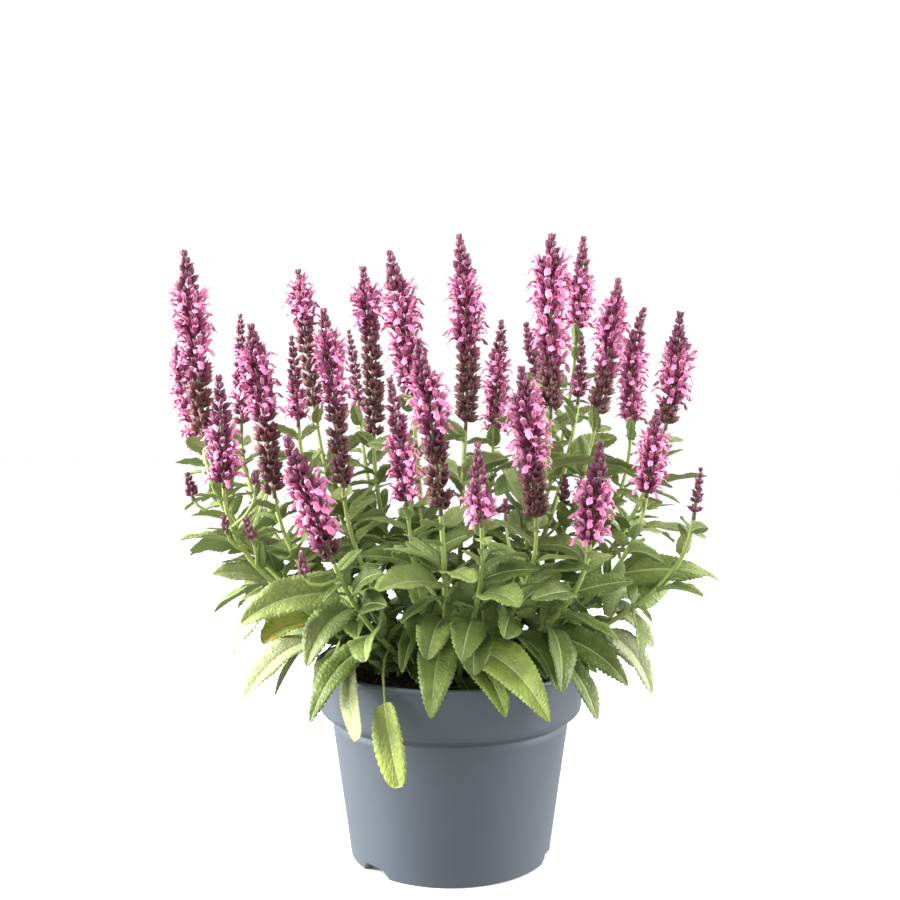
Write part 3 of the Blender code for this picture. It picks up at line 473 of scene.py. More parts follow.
@dataclass
class Layout:
    """The rule that places the stems, leaves and side shoots with nothing crossing anything else."""

    clear: float = 0.9
    stem_room: float = 1.8
    soil_room: float = 3.0
    spike_stations: tuple[float, ...] = (0.0, 0.07, 0.25, 0.45, 0.65, 0.82, 1.0)
    spike_sides: int = 8
    calyx_reach: float = 10.5
    flower_reach: float = 14.5
    tip_reach: float = 4.2
    bloom_margin: float = 0.03
    tip_taper: float = 0.28
    crown_share: float = 0.30
    crown_radius: float = 52.0
    foot_spacing: float = 8.5
    foot_nudges: tuple[float, ...] = (5.0, 9.0, 14.0, 20.0, 26.0)
    lowest_root: float = 141.0
    thickness: float = 1.2
    root_half: float = 1.2
    cup: float = 0.16
    wave: float = 0.035
    aspect: float = 0.45
    small_length: float = 43.0
    edge: tuple[Span, ...] = ((0.09, 0.46), (0.26, 0.96), (0.42, 0.88), (0.60, 1.0), (0.83, 0.68))
    small_edge: tuple[Span, ...] = ((0.16, 0.60), (0.42, 1.0), (0.74, 0.60))
    side_radius: float = 1.1
    bud_reach: float = 4.6
    bud_rings: tuple[Point, ...] = ((0.30, 1.0, 0.5), (0.52, 0.5, 0.5), (0.76, 0.72, 1.0))
    outline_nudges: tuple[Point, ...] = (
        (0, 0, 0), (0, 0, 6), (0, 0, -6), (0, -8, 2), (0, 8, 2),
        (6, 0, 10), (-6, 0, 10), (0, -12, -8), (8, 6, -10), (-8, 6, -10),
    )
    outline_look: float = 0.45
    arch_out: float = 0.6
    arch_up: Point = (0.0, 0.0, 0.8)
    shoot_look: float = 0.30
    shoot_drop: float = 26.0
    shoot_pull: float = 0.4
    owner_tries: int = 4
    least_depth: float = 12.0
    pair_tilt: float = 54.0
    droop_variety: float = 0.6
    pair_shift: float = 5.0
    pair_variety: float = 0.12
    least_run: float = 20.0
    bend_shares: Span = (0.45, 0.58)
    roll_out: float = 0.9
    roll_variety: float = 0.35
    pairs: tuple[Point, ...] = (
        (8.0, 24.0, 0.35), (40.0, 42.0, 0.50), (76.0, 54.0, 0.62), (116.0, 58.0, 0.70), (156.0, 58.0, 0.75),
    )
    pair_scales: tuple[float, ...] = (1.0, 0.85, 0.7)
    pair_tilts: tuple[float, ...] = (0.0, 14.0, -14.0, 26.0)
    pair_turns: tuple[float, ...] = (0.0, 20.0, -20.0, 42.0, -42.0)
    pair_ages: tuple[float, ...] = (0.02, 0.06, 0.12, 0.22, 0.34)
    tuft_step: float = 5.5
    tuft_tries: tuple[int, int] = (4, 2)
    tuft_low: float = 172.0
    tuft_top: float = 14.0
    tuft_floor: float = 124.0
    tuft_room: float = 0.3
    tuft_aspect: float = 0.36
    tuft_lengths: Span = (16.0, 48.0)
    tuft_heights: Span = (190.0, 250.0)
    tuft_angles: Span = (34.0, 44.0)
    tuft_droops: Span = (0.15, 0.7)
    tuft_turn: float = 0.8
    tuft_roll: float = 0.8
    tuft_age: float = 0.10
    high_shorter: float = 0.6
    high_fewer: float = 0.5
    right_edge: float = 180.0

    def __post_init__(self) -> None:
        """Start with nothing placed and the seeded draws."""
        self.draw = np.random.default_rng(SEED)
        self.placed = Clearance()
        self.stems: list[Stem] = []
        self.growths: list[Leaf | SideShoot] = []

    def spike_reach(self, shoot: Shoot, share: float) -> float:
        """Tell how far the whorl at a share of the spike stands out from its axis.

        Args:
            shoot: The spike's shoot.
            share: The share of its length, from its foot.

        Returns:
            The reach, which fades towards the tip by a power of the way.
        """
        low, high = shoot.bloom
        blooms = low - self.bloom_margin < share < high + self.bloom_margin
        reach = self.flower_reach if blooms else self.calyx_reach
        fade = min(1.0, (1.0 - share) / self.tip_taper)
        return shoot.girth * (self.tip_reach + (reach - self.tip_reach) * fade**0.8)

    def outward_roll(self, root: Array, tip: Array) -> float:
        """Give the roll that turns a leaf's upper face a little outwards from the plant's axis."""
        return -self.roll_out * float(level_across(tip - root) @ unit(root * LEVEL))

    def leaf_shape(self, leaf: Leaf, swell: float) -> Shape:
        """Make the plain solid of a leaf: an outline round a bent midrib, swollen to keep room round it.

        Args:
            leaf: Its place and size.
            swell: How much larger it is on every side.

        Returns:
            Its points and faces.
        """
        length = np.linalg.norm(leaf.tip - leaf.root)
        edge = self.edge if length > self.small_length else self.small_edge
        bare = leaf.stalk
        count = len(edge)
        mids = (count - 1) // 2
        blade = Midrib(leaf)
        half = 0.5 * self.thickness + swell
        root_half = self.root_half + swell
        bases = np.array((0.0, bare) if bare else (0.0,))
        corners = [
            point + blade.across * (root_half * right) + up * (root_half * above)
            for point, up in zip(blade.point(bases), blade.upward(bases))
            for right, above in ((-1, 1), (-1, -1), (1, -1), (1, 1))
        ]
        neck = len(corners) - 4
        shares = np.array([bare + (1 - bare) * share for share, _ in edge])
        widths = np.array([width for _, width in edge])
        inner = shares[1 : 2 * mids : 2]
        spread = blade.across * (0.5 * leaf.width * widths + swell)[:, None]
        signs = np.where(np.arange(count) % 2 == 0, 1.0, -1.0)
        lift = blade.upward(shares) * (leaf.width * (self.cup * widths + self.wave * signs))[:, None]
        line = blade.point(shares)
        points = np.vstack(
            [
                corners,
                blade.point(inner) + blade.upward(inner) * half,
                blade.point(inner) - blade.upward(inner) * half,
                line - spread + lift,
                line + spread + lift,
                blade.point(np.array((1.0 + swell / length,))),
            ]
        )
        tip = len(points) - 1
        top = len(corners)
        under, first_left, first_right = top + mids, top + 2 * mids, top + 2 * mids + count
        faces: Faces = [(side, side + 4, (side + 1) % 4 + 4, (side + 1) % 4) for side in range(neck)]
        fan = (first_left, under, first_right, top)
        for side, (ahead, behind) in enumerate(zip(fan, fan[-1:] + fan[:-1])):
            here = neck + side
            faces += [(here, behind, ahead), (here, ahead, neck + (side + 1) % 4)]
        for first, is_left in ((first_left, True), (first_right, False)):
            rim = [first + place for place in range(count)] + [tip]
            for start, forward in ((top, not is_left), (under, is_left)):
                mid = [-1] + [start + m for m in range(mids)] + [tip]
                for place in range(1, count):
                    here = (place + 1) // 2
                    if place % 2 == 0:
                        split = [(mid[here], rim[place], mid[here + 1])]
                    else:
                        split = [(mid[here], rim[place + back], rim[place + back + 1]) for back in (-1, 0)]
                    faces += [face if forward else face[::-1] for face in split]
        faces.append((0, 1, 2, 3))
        return points, faces

    def shoot_shape(self, shoot: SideShoot, swell: float) -> Shape:
        """Make the plain solid of a side shoot: a square tube that ends in two tiers of buds.

        Args:
            shoot: Its line and tip.
            swell: How much larger it is on every side.

        Returns:
            Its points and faces.
        """
        head = shoot.line[-1]
        bud = shoot.tip - head
        centres = np.vstack([shoot.line, head + np.outer([height for height, _, _ in self.bud_rings], bud)])
        count = len(shoot.line)
        radii = [self.side_radius] * count + [self.bud_reach * reach for _, reach, _ in self.bud_rings]
        turns = [0.0] * count + [QUARTER * quarters for _, _, quarters in self.bud_rings]
        points = []
        for number, (centre, radius, turn) in enumerate(zip(centres, radii, turns)):
            ahead = centres[min(number + 1, len(centres) - 1)] - centres[max(number - 1, 0)]
            side = unit(np.cross(unit(ahead), UP))
            up = np.cross(side, unit(ahead))
            angle = 0.75 * math.pi + turn + QUARTER * np.arange(4)
            points.append(centre + (radius + swell) * spun(angle, side, up))
        last = 4 * (len(centres) - 1)
        fan = [(last + side, last + (side + 1) % 4, last + 4) for side in range(4)]
        return np.vstack([*points, shoot.tip]), tube_faces(len(centres), 4)[:-1] + fan

    def spike_keepout(self, shoot: Shoot) -> Shape:
        """Make a plain round tube that holds the whole spike.

        Args:
            shoot: The spike's shoot.

        Returns:
            Its points and faces.
        """
        radii = [self.spike_reach(shoot, share) + self.clear for share in self.spike_stations]
        radii[0], radii[-1] = Stem.radius_foot + self.clear, self.tip_reach
        points = shoot.axis(self.spike_stations)
        circle = spun(around(self.spike_sides), *across_frame(unit(points[-1] - points[0])))
        rings = [point + radius * circle for point, radius in zip(points, radii)]
        return np.vstack(rings), tube_faces(len(rings), self.spike_sides)

    def stem_keepout(self, stem: Stem) -> Shape:
        """Make the bare stem, a little thicker than it is."""
        runs = np.linspace(0.0, stem.run[-1], stem.count)
        return np.vstack([stem.ring(run, self.stem_room) for run in runs]), tube_faces(len(runs), 4)

    def pot_keepout(self, pot: Pot) -> Shape:
        """Make the pot's collar and the compost as one plain turned solid, a little larger than they are.

        Args:
            pot: The pot's sizes.

        Returns:
            Its points and faces.
        """
        room = self.clear
        profile = (
            (pot.foot_radius + room, 0.0),
            (pot.neck_radius + room, pot.neck_height - room),
            (pot.shoulder_radius + room, pot.shoulder_height - 2 * room),
            (pot.rim_radius + room, pot.rim_height + room),
            (pot.rim_radius - 2 * pot.wall, pot.rim_height + room),
            (pot.rim_radius - 2 * pot.wall, pot.soil_rim + self.soil_room),
            (pot.centre_radius, pot.soil_crown + room),
        )
        points = pot.turned(np.array(profile), pot.plain_sides).reshape(-1, 3)
        return points, tube_faces(len(profile), pot.plain_sides)

    def place_stems(self) -> None:
        """Move each stem's foot about the crown until the stem is clear of every other and of every spike."""
        nudges = [(0.0, 0.0), *product(self.foot_nudges, range(0, 360, 30))]
        turns = self.draw.uniform(0.0, QUARTER, len(SHOOTS))
        for number, shoot in enumerate(SHOOTS):
            wished = np.array(shoot.base[:2], float) * self.crown_share
            for reach, turn in nudges:
                foot = wished + reach * np.array((math.cos(math.radians(turn)), math.sin(math.radians(turn))))
                foot *= min(1.0, self.crown_radius / np.linalg.norm(foot))
                if any(math.dist(foot, other.points[0][:2]) < self.foot_spacing for other in self.stems):
                    continue
                stem = Stem(shoot, foot, turns[number])
                shape = self.stem_keepout(stem)
                if self.placed.clear(shape, skip=(Slot.POT.value, f"spike {number}")):
                    break
            self.stems.append(stem)
            self.placed.add(shape, f"stem {number}")

    def keep(self, growth: Leaf | SideShoot) -> bool:
        """Keep a leaf or side shoot if its face is free and it crosses nothing but its own stem.

        Args:
            growth: The leaf or side shoot.

        Returns:
            True where it is kept.
        """
        here = (growth.owner, growth.place, growth.face)
        if any(here == (old.owner, old.place, old.face) for old in self.growths):
            return False
        make = self.leaf_shape if isinstance(growth, Leaf) else self.shoot_shape
        shape = make(growth, self.clear)
        if not self.placed.clear(shape, skip=(f"stem {growth.owner}",)):
            return False
        self.placed.add(shape, "growth")
        self.growths.append(growth)
        return True

    def nearest_places(self, target: Array) -> list[tuple[int, float]]:
        """List the stems that pass nearest a point, nearest first, with the place on each.

        Args:
            target: The point.

        Returns:
            Each stem's number and the distance from its foot.
        """
        found = []
        for owner, stem in enumerate(self.stems):
            depths = np.arange(self.least_depth, stem.run[-1], stem.place_step)
            runs = [stem.below(depth) for depth in depths]
            runs = [run for run in runs if stem.at(run)[0][2] > self.lowest_root]
            gaps = [math.dist(stem.at(run)[0], target) for run in runs]
            found.append((min(gaps), owner, runs[int(np.argmin(gaps))]))
        return [(owner, run) for _, owner, run in sorted(found)]

    def try_outline(self, wished: Wish) -> None:
        """Try a leaf that shapes the outline on the stems that pass nearest its root.

        Args:
            wished: Its root, tip, size and tones, as they are wished for.
        """
        for owner, run in self.nearest_places(np.array(wished.root))[: self.owner_tries]:
            for nudge in self.outline_nudges:
                end = np.array(wished.tip, float) + nudge
                centre = 0.5 * (self.stems[owner].at(run)[0] + end)
                outward = unit(centre * LEVEL)
                bend = centre + 2.0 * wished.arch * unit(self.arch_out * outward + np.array(self.arch_up))
                face, start, look = self.stems[owner].face_towards(run, bend)
                roll = self.outward_roll(start, end) + wished.lean
                looks = (wished.stalk, wished.age, wished.pale)
                leaf = Leaf(owner, run, face, start, bend, end, wished.width, roll, *looks)
                if look > self.outline_look and self.keep(leaf):
                    return

    def place_side_shoots(self) -> None:
        """Place the short side shoots, each from the stem that passes nearest under its bud head."""
        for low, high in SIDE_SHOOTS:
            head = np.array(low, float)
            tip = np.array(high, float)
            for owner, run in self.nearest_places(head - self.shoot_drop * UP)[: self.owner_tries]:
                point = self.stems[owner].at(run)[0]
                pull = head - self.shoot_pull * np.linalg.norm(head - point) * unit(tip - head)
                face, start, look = self.stems[owner].face_towards(run, pull)
                line = bezier(start, pull, head, np.linspace(0.0, 1.0, 4)[:, None])
                if look > self.shoot_look and self.keep(SideShoot(owner, run, face, line, tip)):
                    break

    def place_pairs(self) -> None:
        """Place the opposite pairs down each stem, each turned a quarter and moved until clear."""
        for level, (distance, length, droop) in enumerate(self.pairs):
            for owner, stem in enumerate(self.stems):
                spread = self.draw.uniform(-1.0, 1.0, 6)
                run = stem.below(distance + self.pair_shift * spread[0] * (level > 0))
                if run < self.least_run or stem.at(run)[0][2] < self.lowest_root:
                    continue
                for half in (0, 1):
                    self.place_half(owner, run, level, half, spread, (length, droop))

    def place_half(self, owner: int, run: float, level: int, half: int, spread: Array, size: Span) -> None:
        """Place one leaf of a pair, in the first size, tilt and turn that are clear.

        Args:
            owner: The stem's number.
            run: The pair's distance from the stem's foot.
            level: The pair's number, from the spike down.
            half: Which of the two leaves it is.
            spread: The pair's six random draws.
            size: The leaf's length and how far its outer half droops.
        """
        stem = self.stems[owner]
        point, along, radius = stem.at(run)
        face = (level + 2 * half) % 4
        look = stem.facing(along, face)
        beside = np.cross(along, look)
        root = stem.on_face(point, look, radius)
        for scale, tilt, turn in product(self.pair_scales, self.pair_tilts, self.pair_turns):
            length = size[0] * scale * (1.0 + self.pair_variety * spread[1 + half])
            out = rotated(look, beside, math.radians(turn))[0]
            start = unit(rotated(along, out, math.radians(self.pair_tilt + tilt))[0])
            end = unit(start - size[1] * (1.0 + self.droop_variety * spread[5]) * UP)
            bend = root + self.bend_shares[0] * length * start
            tip = bend + self.bend_shares[1] * length * end
            roll = self.outward_roll(root, tip) + self.roll_variety * spread[3 + half]
            age = self.pair_ages[level]
            if self.keep(Leaf(owner, run, face, root, bend, tip, self.aspect * length, roll, 0.0, age)):
                return

    def grow(self, pot: Pot) -> None:
        """Lay out the whole plant over its pot.

        Args:
            pot: The pot's sizes.
        """
        self.placed.add(self.pot_keepout(pot), Slot.POT.value)
        for number, shoot in enumerate(SHOOTS):
            self.placed.add(self.spike_keepout(shoot), f"spike {number}")
        self.place_stems()
        for wished in OUTLINE_LEAVES:
            self.try_outline(wished)
        self.place_side_shoots()
        self.place_pairs()

    def draw_in(self, growth: Leaf | SideShoot) -> Leaf | SideShoot:
        """Shorten a leaf that reaches past the right edge of the plant, along its own line.

        Args:
            growth: A leaf or side shoot.

        Returns:
            It, or the shorter leaf in its place.
        """
        if not isinstance(growth, Leaf) or growth.tip[0] <= self.right_edge:
            return growth
        share = (self.right_edge - growth.root[0]) / (growth.tip[0] - growth.root[0])
        bend, tip = (growth.root + share * (point - growth.root) for point in (growth.bend, growth.tip))
        return replace(growth, bend=bend, tip=tip, width=growth.width * math.sqrt(share))

    def tufts(self) -> list[Leaf]:
        """Fill the room that is left along the stems with small leaves, from draws of their own.

        Returns:
            The leaves.
        """
        self.clear = self.tuft_room
        for wished in FRONT_LEAVES:
            self.try_outline(wished)
        draw = np.random.default_rng(SEED + 2)
        least, most = self.tuft_lengths
        found = []
        for owner, stem in enumerate(self.stems):
            for run in np.arange(self.least_run, stem.run[-1] - self.tuft_top, self.tuft_step):
                point, along, radius = stem.at(run)
                high = float(smooth(point[2], *self.tuft_heights))
                for _ in range(self.tuft_tries[0] if point[2] < self.tuft_low else self.tuft_tries[1]):
                    face = int(draw.integers(4))
                    chance, size, tilt, droop, roll = draw.random(5)
                    look = stem.facing(along, face)
                    turn = self.tuft_turn * (draw.random() - 0.5)
                    if point[2] < self.tuft_floor or chance < self.high_fewer * high:
                        continue
                    out = unit(look + turn * np.cross(along, look))
                    length = least + (most - least) * size * (1.0 - self.high_shorter * high)
                    angle = math.radians(self.tuft_angles[0] + self.tuft_angles[1] * tilt)
                    start = unit(rotated(along, out, angle)[0])
                    end = unit(start - (self.tuft_droops[0] + self.tuft_droops[1] * droop) * UP)
                    root = stem.on_face(point, look, radius)
                    bend = root + self.bend_shares[0] * length * start
                    tip = bend + self.bend_shares[1] * length * end
                    width, roll = self.tuft_aspect * length, self.tuft_roll * (roll - 0.5)
                    age = self.tuft_age * (1.0 - high)
                    leaf = Leaf(owner, run, face, root, bend, tip, width, roll, 0.0, age)
                    shape = self.leaf_shape(leaf, self.tuft_room)
                    if self.placed.clear(shape, skip=(f"stem {owner}",)):
                        self.placed.add(shape, "tuft")
                        found.append(leaf)
        return found


@dataclass
class Midrib:
    """The bent line of a leaf, with the directions across and above it."""

    leaf: Leaf

    def __post_init__(self) -> None:
        """Work out the direction across the blade, rolled about its chord."""
        chord = self.leaf.tip - self.leaf.root
        across = level_across(chord)
        facing = unit(np.cross(across, unit(chord)))
        self.across = rotated(across, facing, self.leaf.roll)[0]

    def point(self, share: Array) -> Array:
        """Follow the quadratic curve from root to tip."""
        return bezier(self.leaf.root, self.leaf.bend, self.leaf.tip, share[:, None])

    def upward(self, share: Array) -> Array:
        """Give the direction above the blade: across times the curve's own direction."""
        start, end = self.leaf.bend - self.leaf.root, self.leaf.tip - self.leaf.bend
        return unit(np.cross(self.across, unit(2 * (1 - share[:, None]) * start + 2 * share[:, None] * end)))


@dataclass
class Surface:
    """Points in millimetres with their four-sided and three-sided faces, and named triples per point."""

    points: Array
    quads: Array
    tris: Array
    marks: dict[str, Array] = field(default_factory=dict)

    @staticmethod
    def lofted(rings: Array, marks: dict[str, Array] | None = None) -> Surface:
        """Skin closed rings, one after another, and close both ends round a middle point.

        Args:
            rings: An array of rings by points by three, each ring counter-clockwise seen from its far end.
            marks: Named triples on the same grid.

        Returns:
            A closed surface whose faces point outwards.
        """
        rows, sides = rings.shape[:2]
        row = np.arange(rows - 1)[:, None] * sides
        here = np.arange(sides)
        there = (here + 1) % sides
        above = row + sides
        quads = np.stack([row + here, row + there, above + there, above + here], axis=-1).reshape(-1, 4)
        first, last, top = rows * sides, rows * sides + 1, (rows - 1) * sides
        low = np.column_stack([there, here, np.full(sides, first)])
        high = np.column_stack([top + here, top + there, np.full(sides, last)])

        def closed(grid: Array) -> Array:
            """Add the mean of the first and of the last ring to the grid's points."""
            return np.vstack([grid.reshape(-1, 3), grid[0].mean(axis=0), grid[-1].mean(axis=0)])

        closed_marks = {name: closed(mark) for name, mark in (marks or {}).items()}
        return Surface(closed(rings), quads, np.vstack([low, high]), closed_marks)

    @staticmethod
    def joined(parts: Sequence[Surface]) -> Surface:
        """Put surfaces side by side in one."""
        starts = np.cumsum([0] + [len(part.points) for part in parts[:-1]])
        return Surface(
            np.vstack([part.points for part in parts]),
            np.vstack([part.quads + start for part, start in zip(parts, starts)]),
            np.vstack([part.tris + start for part, start in zip(parts, starts)]),
            {name: np.vstack([part.marks[name] for part in parts]) for name in parts[0].marks},
        )

    def copies(self, frames: Array, places: Array, sizes: Array, marks: dict[str, Array]) -> Surface:
        """Repeat the surface at many places.

        Args:
            frames: For each copy, three rows: the directions of the surface's X, Y and Z.
            places: For each copy, the point its origin goes to.
            sizes: For each copy, its scale.
            marks: Named triples, one for each copy, given to all its points.

        Returns:
            All the copies in one surface.
        """
        count, own = len(places), len(self.points)
        points = np.einsum("pi,nij->npj", self.points, frames) * sizes[:, None, None] + places[:, None, :]
        shift = (np.arange(count) * own)[:, None, None]
        repeated = {name: np.tile(mark, (count, 1)) for name, mark in self.marks.items()}
        given = {name: np.repeat(mark, own, axis=0) for name, mark in marks.items()}
        return Surface(
            points.reshape(-1, 3),
            (self.quads[None] + shift).reshape(-1, 4),
            (self.tris[None] + shift).reshape(-1, 3),
            {**repeated, **given},
        )

    def piece(self, name: str, material: Material, slot: Slot, *nodes: str) -> bpy.types.Object:
        """Make the surface a smooth-shaded object that rides on the frame.

        Args:
            name: The object's name.
            material: Its finish.
            slot: A slot of the record; not used.
            nodes: The solids that it stands for.

        Returns:
            The object, at the origin, with its place in its mesh.
        """
        mesh = bpy.data.meshes.new(name)
        mesh.vertices.add(len(self.points))
        mesh.vertices.foreach_set("co", (self.points * MM).astype(np.float32).ravel())
        corners = np.concatenate([self.quads.ravel(), self.tris.ravel()]).astype(np.int32)
        quads, tris = len(self.quads), len(self.tris)
        starts = np.concatenate([np.arange(quads) * 4, quads * 4 + np.arange(tris) * 3]).astype(np.int32)
        mesh.loops.add(len(corners))
        mesh.loops.foreach_set("vertex_index", corners)
        mesh.polygons.add(len(starts))
        mesh.polygons.foreach_set("loop_start", starts)
        mesh.update(calc_edges=True)
        mesh.polygons.foreach_set("use_smooth", np.ones(len(starts), bool))
        for title, mark in self.marks.items():
            layer = mesh.attributes.new(title, "FLOAT_VECTOR", "POINT")
            layer.data.foreach_set("vector", mark.astype(np.float32).ravel())
        mesh.materials.append(material)
        thing = in_scene(name, mesh)
        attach(thing, BODY)
        if nodes:
            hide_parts(*nodes)
        LOG.info("%s: %d triangles", name, 2 * quads + tris)
        return thing


class Graph:
    """A node tree, with short calls for the nodes that the finishes and the studio use."""

    mix_first: int = 6
    mix_second: int = 7
    mix_result: int = 2

    def __init__(self, tree: bpy.types.NodeTree) -> None:
        """Work on a tree."""
        self.tree = tree

    def add(self, kind: str, sockets: dict[str | int, object], **settings: object) -> bpy.types.Node:
        """Add a node.

        Args:
            kind: Its type.
            sockets: What goes into its inputs, by their name or number.
            settings: Its properties.

        Returns:
            The node.
        """
        node = self.tree.nodes.new(kind)
        for title, value in settings.items():
            setattr(node, title, value)
        for title, value in sockets.items():
            self.feed(node.inputs[title], value)
        return node

    def feed(self, socket: Socket, value: object) -> None:
        """Put something into a socket.

        Args:
            socket: An input.
            value: An output to link to it, or its value; three numbers are a colour.
        """
        if isinstance(value, Socket):
            self.tree.links.new(value, socket)
        else:
            socket.default_value = (*value, 1.0) if isinstance(value, tuple) and len(value) == 3 else value

    def split(self, vector: Socket) -> tuple[Socket, ...]:
        """Take a vector apart."""
        return tuple(self.add("ShaderNodeSeparateXYZ", {0: vector}).outputs)

    def math(self, operation: str, *values: object, clamp: bool = False) -> Socket:
        """Work out one step of arithmetic."""
        node = self.add("ShaderNodeMath", dict(enumerate(values)), operation=operation, use_clamp=clamp)
        return node.outputs[0]

    def times(self, first: object, second: object) -> Socket:
        """Multiply two values."""
        return self.math("MULTIPLY", first, second)

    def scaled(self, value: object, factor: object, shift: object, clamp: bool = False) -> Socket:
        """Multiply a value and add to it."""
        return self.math("MULTIPLY_ADD", value, factor, shift, clamp=clamp)

    def between(self, value: object, low: float, high: float, start: float = 0.0, end: float = 1.0) -> Socket:
        """Map a value from low and high to start and end, eased and clamped."""
        sockets = {"From Min": low, "From Max": high, "To Min": start, "To Max": end, "Value": value}
        return self.add("ShaderNodeMapRange", sockets, interpolation_type="SMOOTHSTEP").outputs["Result"]

    def mix(self, share: object, first: object, second: object) -> Socket:
        """Blend two colours by a share."""
        sockets = {"Factor": share, self.mix_first: first, self.mix_second: second}
        return self.add("ShaderNodeMix", sockets, data_type="RGBA").outputs[self.mix_result]

    def noise(self, vector: object, scale: float, detail: float = 3.0) -> Socket:
        """Read soft noise from 0 to 1 on a vector."""
        sockets = {"Scale": scale, "Detail": detail, "Vector": vector}
        return self.add("ShaderNodeTexNoise", sockets).outputs["Fac"]


class Shader(Graph):
    """The node tree of a material round one Principled shader."""

    def __init__(self, name: str, roughness: float, **constants: float | Colour) -> None:
        """Start the material.

        Args:
            name: The material's name.
            roughness: The shader's roughness.
            constants: Other sockets of the shader, with spaces as underscores, and their values.
        """
        self.material = bpy.data.materials.new(name)
        self.material.use_nodes = True
        super().__init__(self.material.node_tree)
        self.principled = self.tree.nodes["Principled BSDF"]
        self.feed(self.principled.inputs["Roughness"], roughness)
        for title, value in constants.items():
            self.feed(self.principled.inputs[title.replace("_", " ")], value)

    def mark(self, name: str) -> Socket:
        """Read a named triple of the surface."""
        return self.add("ShaderNodeAttribute", {}, attribute_name=name).outputs["Vector"]

    def place(self) -> Socket:
        """Read Object coordinates, in metres."""
        return self.add("ShaderNodeTexCoord", {}).outputs["Object"]

    def bump(self, height: object, depth: float, strength: float = 1.0) -> None:
        """Raise the surface by a height from 0 to 1, over a depth in metres."""
        node = self.add("ShaderNodeBump", {"Strength": strength, "Distance": depth, "Height": height})
        self.feed(self.principled.inputs["Normal"], node.outputs["Normal"])

    def colour(self, value: object) -> None:
        """Give the shader its colour."""
        self.feed(self.principled.inputs["Base Color"], value)


@dataclass(frozen=True)
class LeafFinish:
    """Soft matt green: puckers in a net of veins with painted shade, pale midrib, yellowing or paling with
    age, paler below.
    """

    dark: Colour = (0.078, 0.122, 0.012)
    light: Colour = (0.305, 0.382, 0.098)
    # Painted shade: the dark green laid into the net's lines and along the side veins.
    shadow_green: Colour = (0.040, 0.066, 0.007)
    vein: Colour = (0.560, 0.640, 0.270)
    yellow: Colour = (0.325, 0.400, 0.058)
    rust: Colour = (0.600, 0.390, 0.055)
    pale: Colour = (0.540, 0.560, 0.350)
    below: Colour = (0.360, 0.440, 0.180)
    side_veins: float = 9.0
    slant: float = 0.18
    pucker: float = 2.9

    def material(self) -> Material:
        """Build the material.

        Returns:
            The finished material.
        """
        shade = Shader("sage leaf", 0.52, Specular_IOR_Level=0.40, Sheen_Weight=0.05, Sheen_Roughness=0.5)
        along, across, under = shade.split(shade.mark("blade"))
        grain = shade.mark("grain")
        tone, age, pale = shade.split(shade.mark("tint"))
        apart = shade.math("ABSOLUTE", across)
        phase = shade.scaled(apart, -self.slant * self.side_veins, shade.times(along, self.side_veins))
        side = shade.between(shade.math("PINGPONG", phase, 0.5), 0.0, 0.09, 1.0, 0.0)
        side = shade.times(side, shade.scaled(apart, -0.40, 0.75))
        middle = shade.between(apart, 0.02, 0.075, 1.0, 0.0)
        veins = shade.math("MAXIMUM", side, middle)
        sockets = {"Scale": 1.0 / self.pucker, "Vector": grain}
        cells = shade.add("ShaderNodeTexVoronoi", sockets, feature="DISTANCE_TO_EDGE")
        net = shade.between(cells.outputs["Distance"], 0.0, 0.30, 1.0, 0.0)
        blotch = shade.noise(grain, 0.10, 4.0)
        # The tone is each leaf's random tone, less the painted shade given to leaves low in the plant.
        light = shade.math("ADD", tone, shade.scaled(blotch, 0.9, -0.45), clamp=True)
        green = shade.mix(light, self.dark, self.light)
        # Painted shade: the net's lines and the side veins are darkened for the shade in their folds.
        painted_crease_shade = shade.math("MAXIMUM", shade.times(net, 0.24), shade.times(side, 0.6))
        green = shade.mix(painted_crease_shade, green, self.shadow_green)
        old = shade.scaled(blotch, 1.1, shade.scaled(shade.math("MAXIMUM", apart, along), 0.30, -0.72))
        old = shade.math("ADD", old, age, clamp=True)
        aged = shade.mix(shade.times(old, shade.between(age, 0.0, 0.6)), green, self.yellow)
        rusty = shade.times(shade.between(blotch, 0.48, 0.66), shade.between(age, 0.86, 1.0))
        aged = shade.mix(shade.times(rusty, 0.75), aged, self.rust)
        # Painted shade as well: pale leaves are kept a little less pale along the net's lines.
        aged = shade.mix(shade.times(pale, shade.scaled(net, -0.12, 0.92)), aged, self.pale)
        veined = shade.mix(shade.times(middle, 0.75), aged, self.vein)
        shade.colour(shade.mix(shade.times(under, 0.6), veined, self.below))
        dome = shade.between(cells.outputs["Distance"], 0.0, 0.45)
        shade.bump(shade.math("SUBTRACT", dome, shade.times(veins, 0.9)), 0.0006, 0.5)
        return shade.material


@dataclass(frozen=True)
class StalkFinish:
    """Pale green, ribbed and downy, with a purple flush towards the flowers."""

    green: Colour = (0.300, 0.400, 0.085)
    pale: Colour = (0.520, 0.610, 0.210)
    flush: Colour = (0.095, 0.038, 0.042)

    def material(self) -> Material:
        """Build the material.

        Returns:
            The finished material.
        """
        shade = Shader("sage stalk", 0.55, Sheen_Weight=0.06, Sheen_Roughness=0.5)
        marks = shade.mark("stalk")
        _, corner, flush = shade.split(marks)
        streak = shade.noise(shade.place(), 260.0, 3.0)
        lit = shade.scaled(corner, 0.6, shade.scaled(streak, 0.8, -0.3), clamp=True)
        share = shade.math("ADD", flush, shade.scaled(streak, 0.5, -0.25), clamp=True)
        share = shade.times(share, shade.between(flush, 0.02, 0.4))
        shade.colour(shade.mix(share, shade.mix(lit, self.green, self.pale), self.flush))
        shade.bump(shade.noise(marks, 6.0, 2.0), 0.0002, 0.5)
        return shade.material


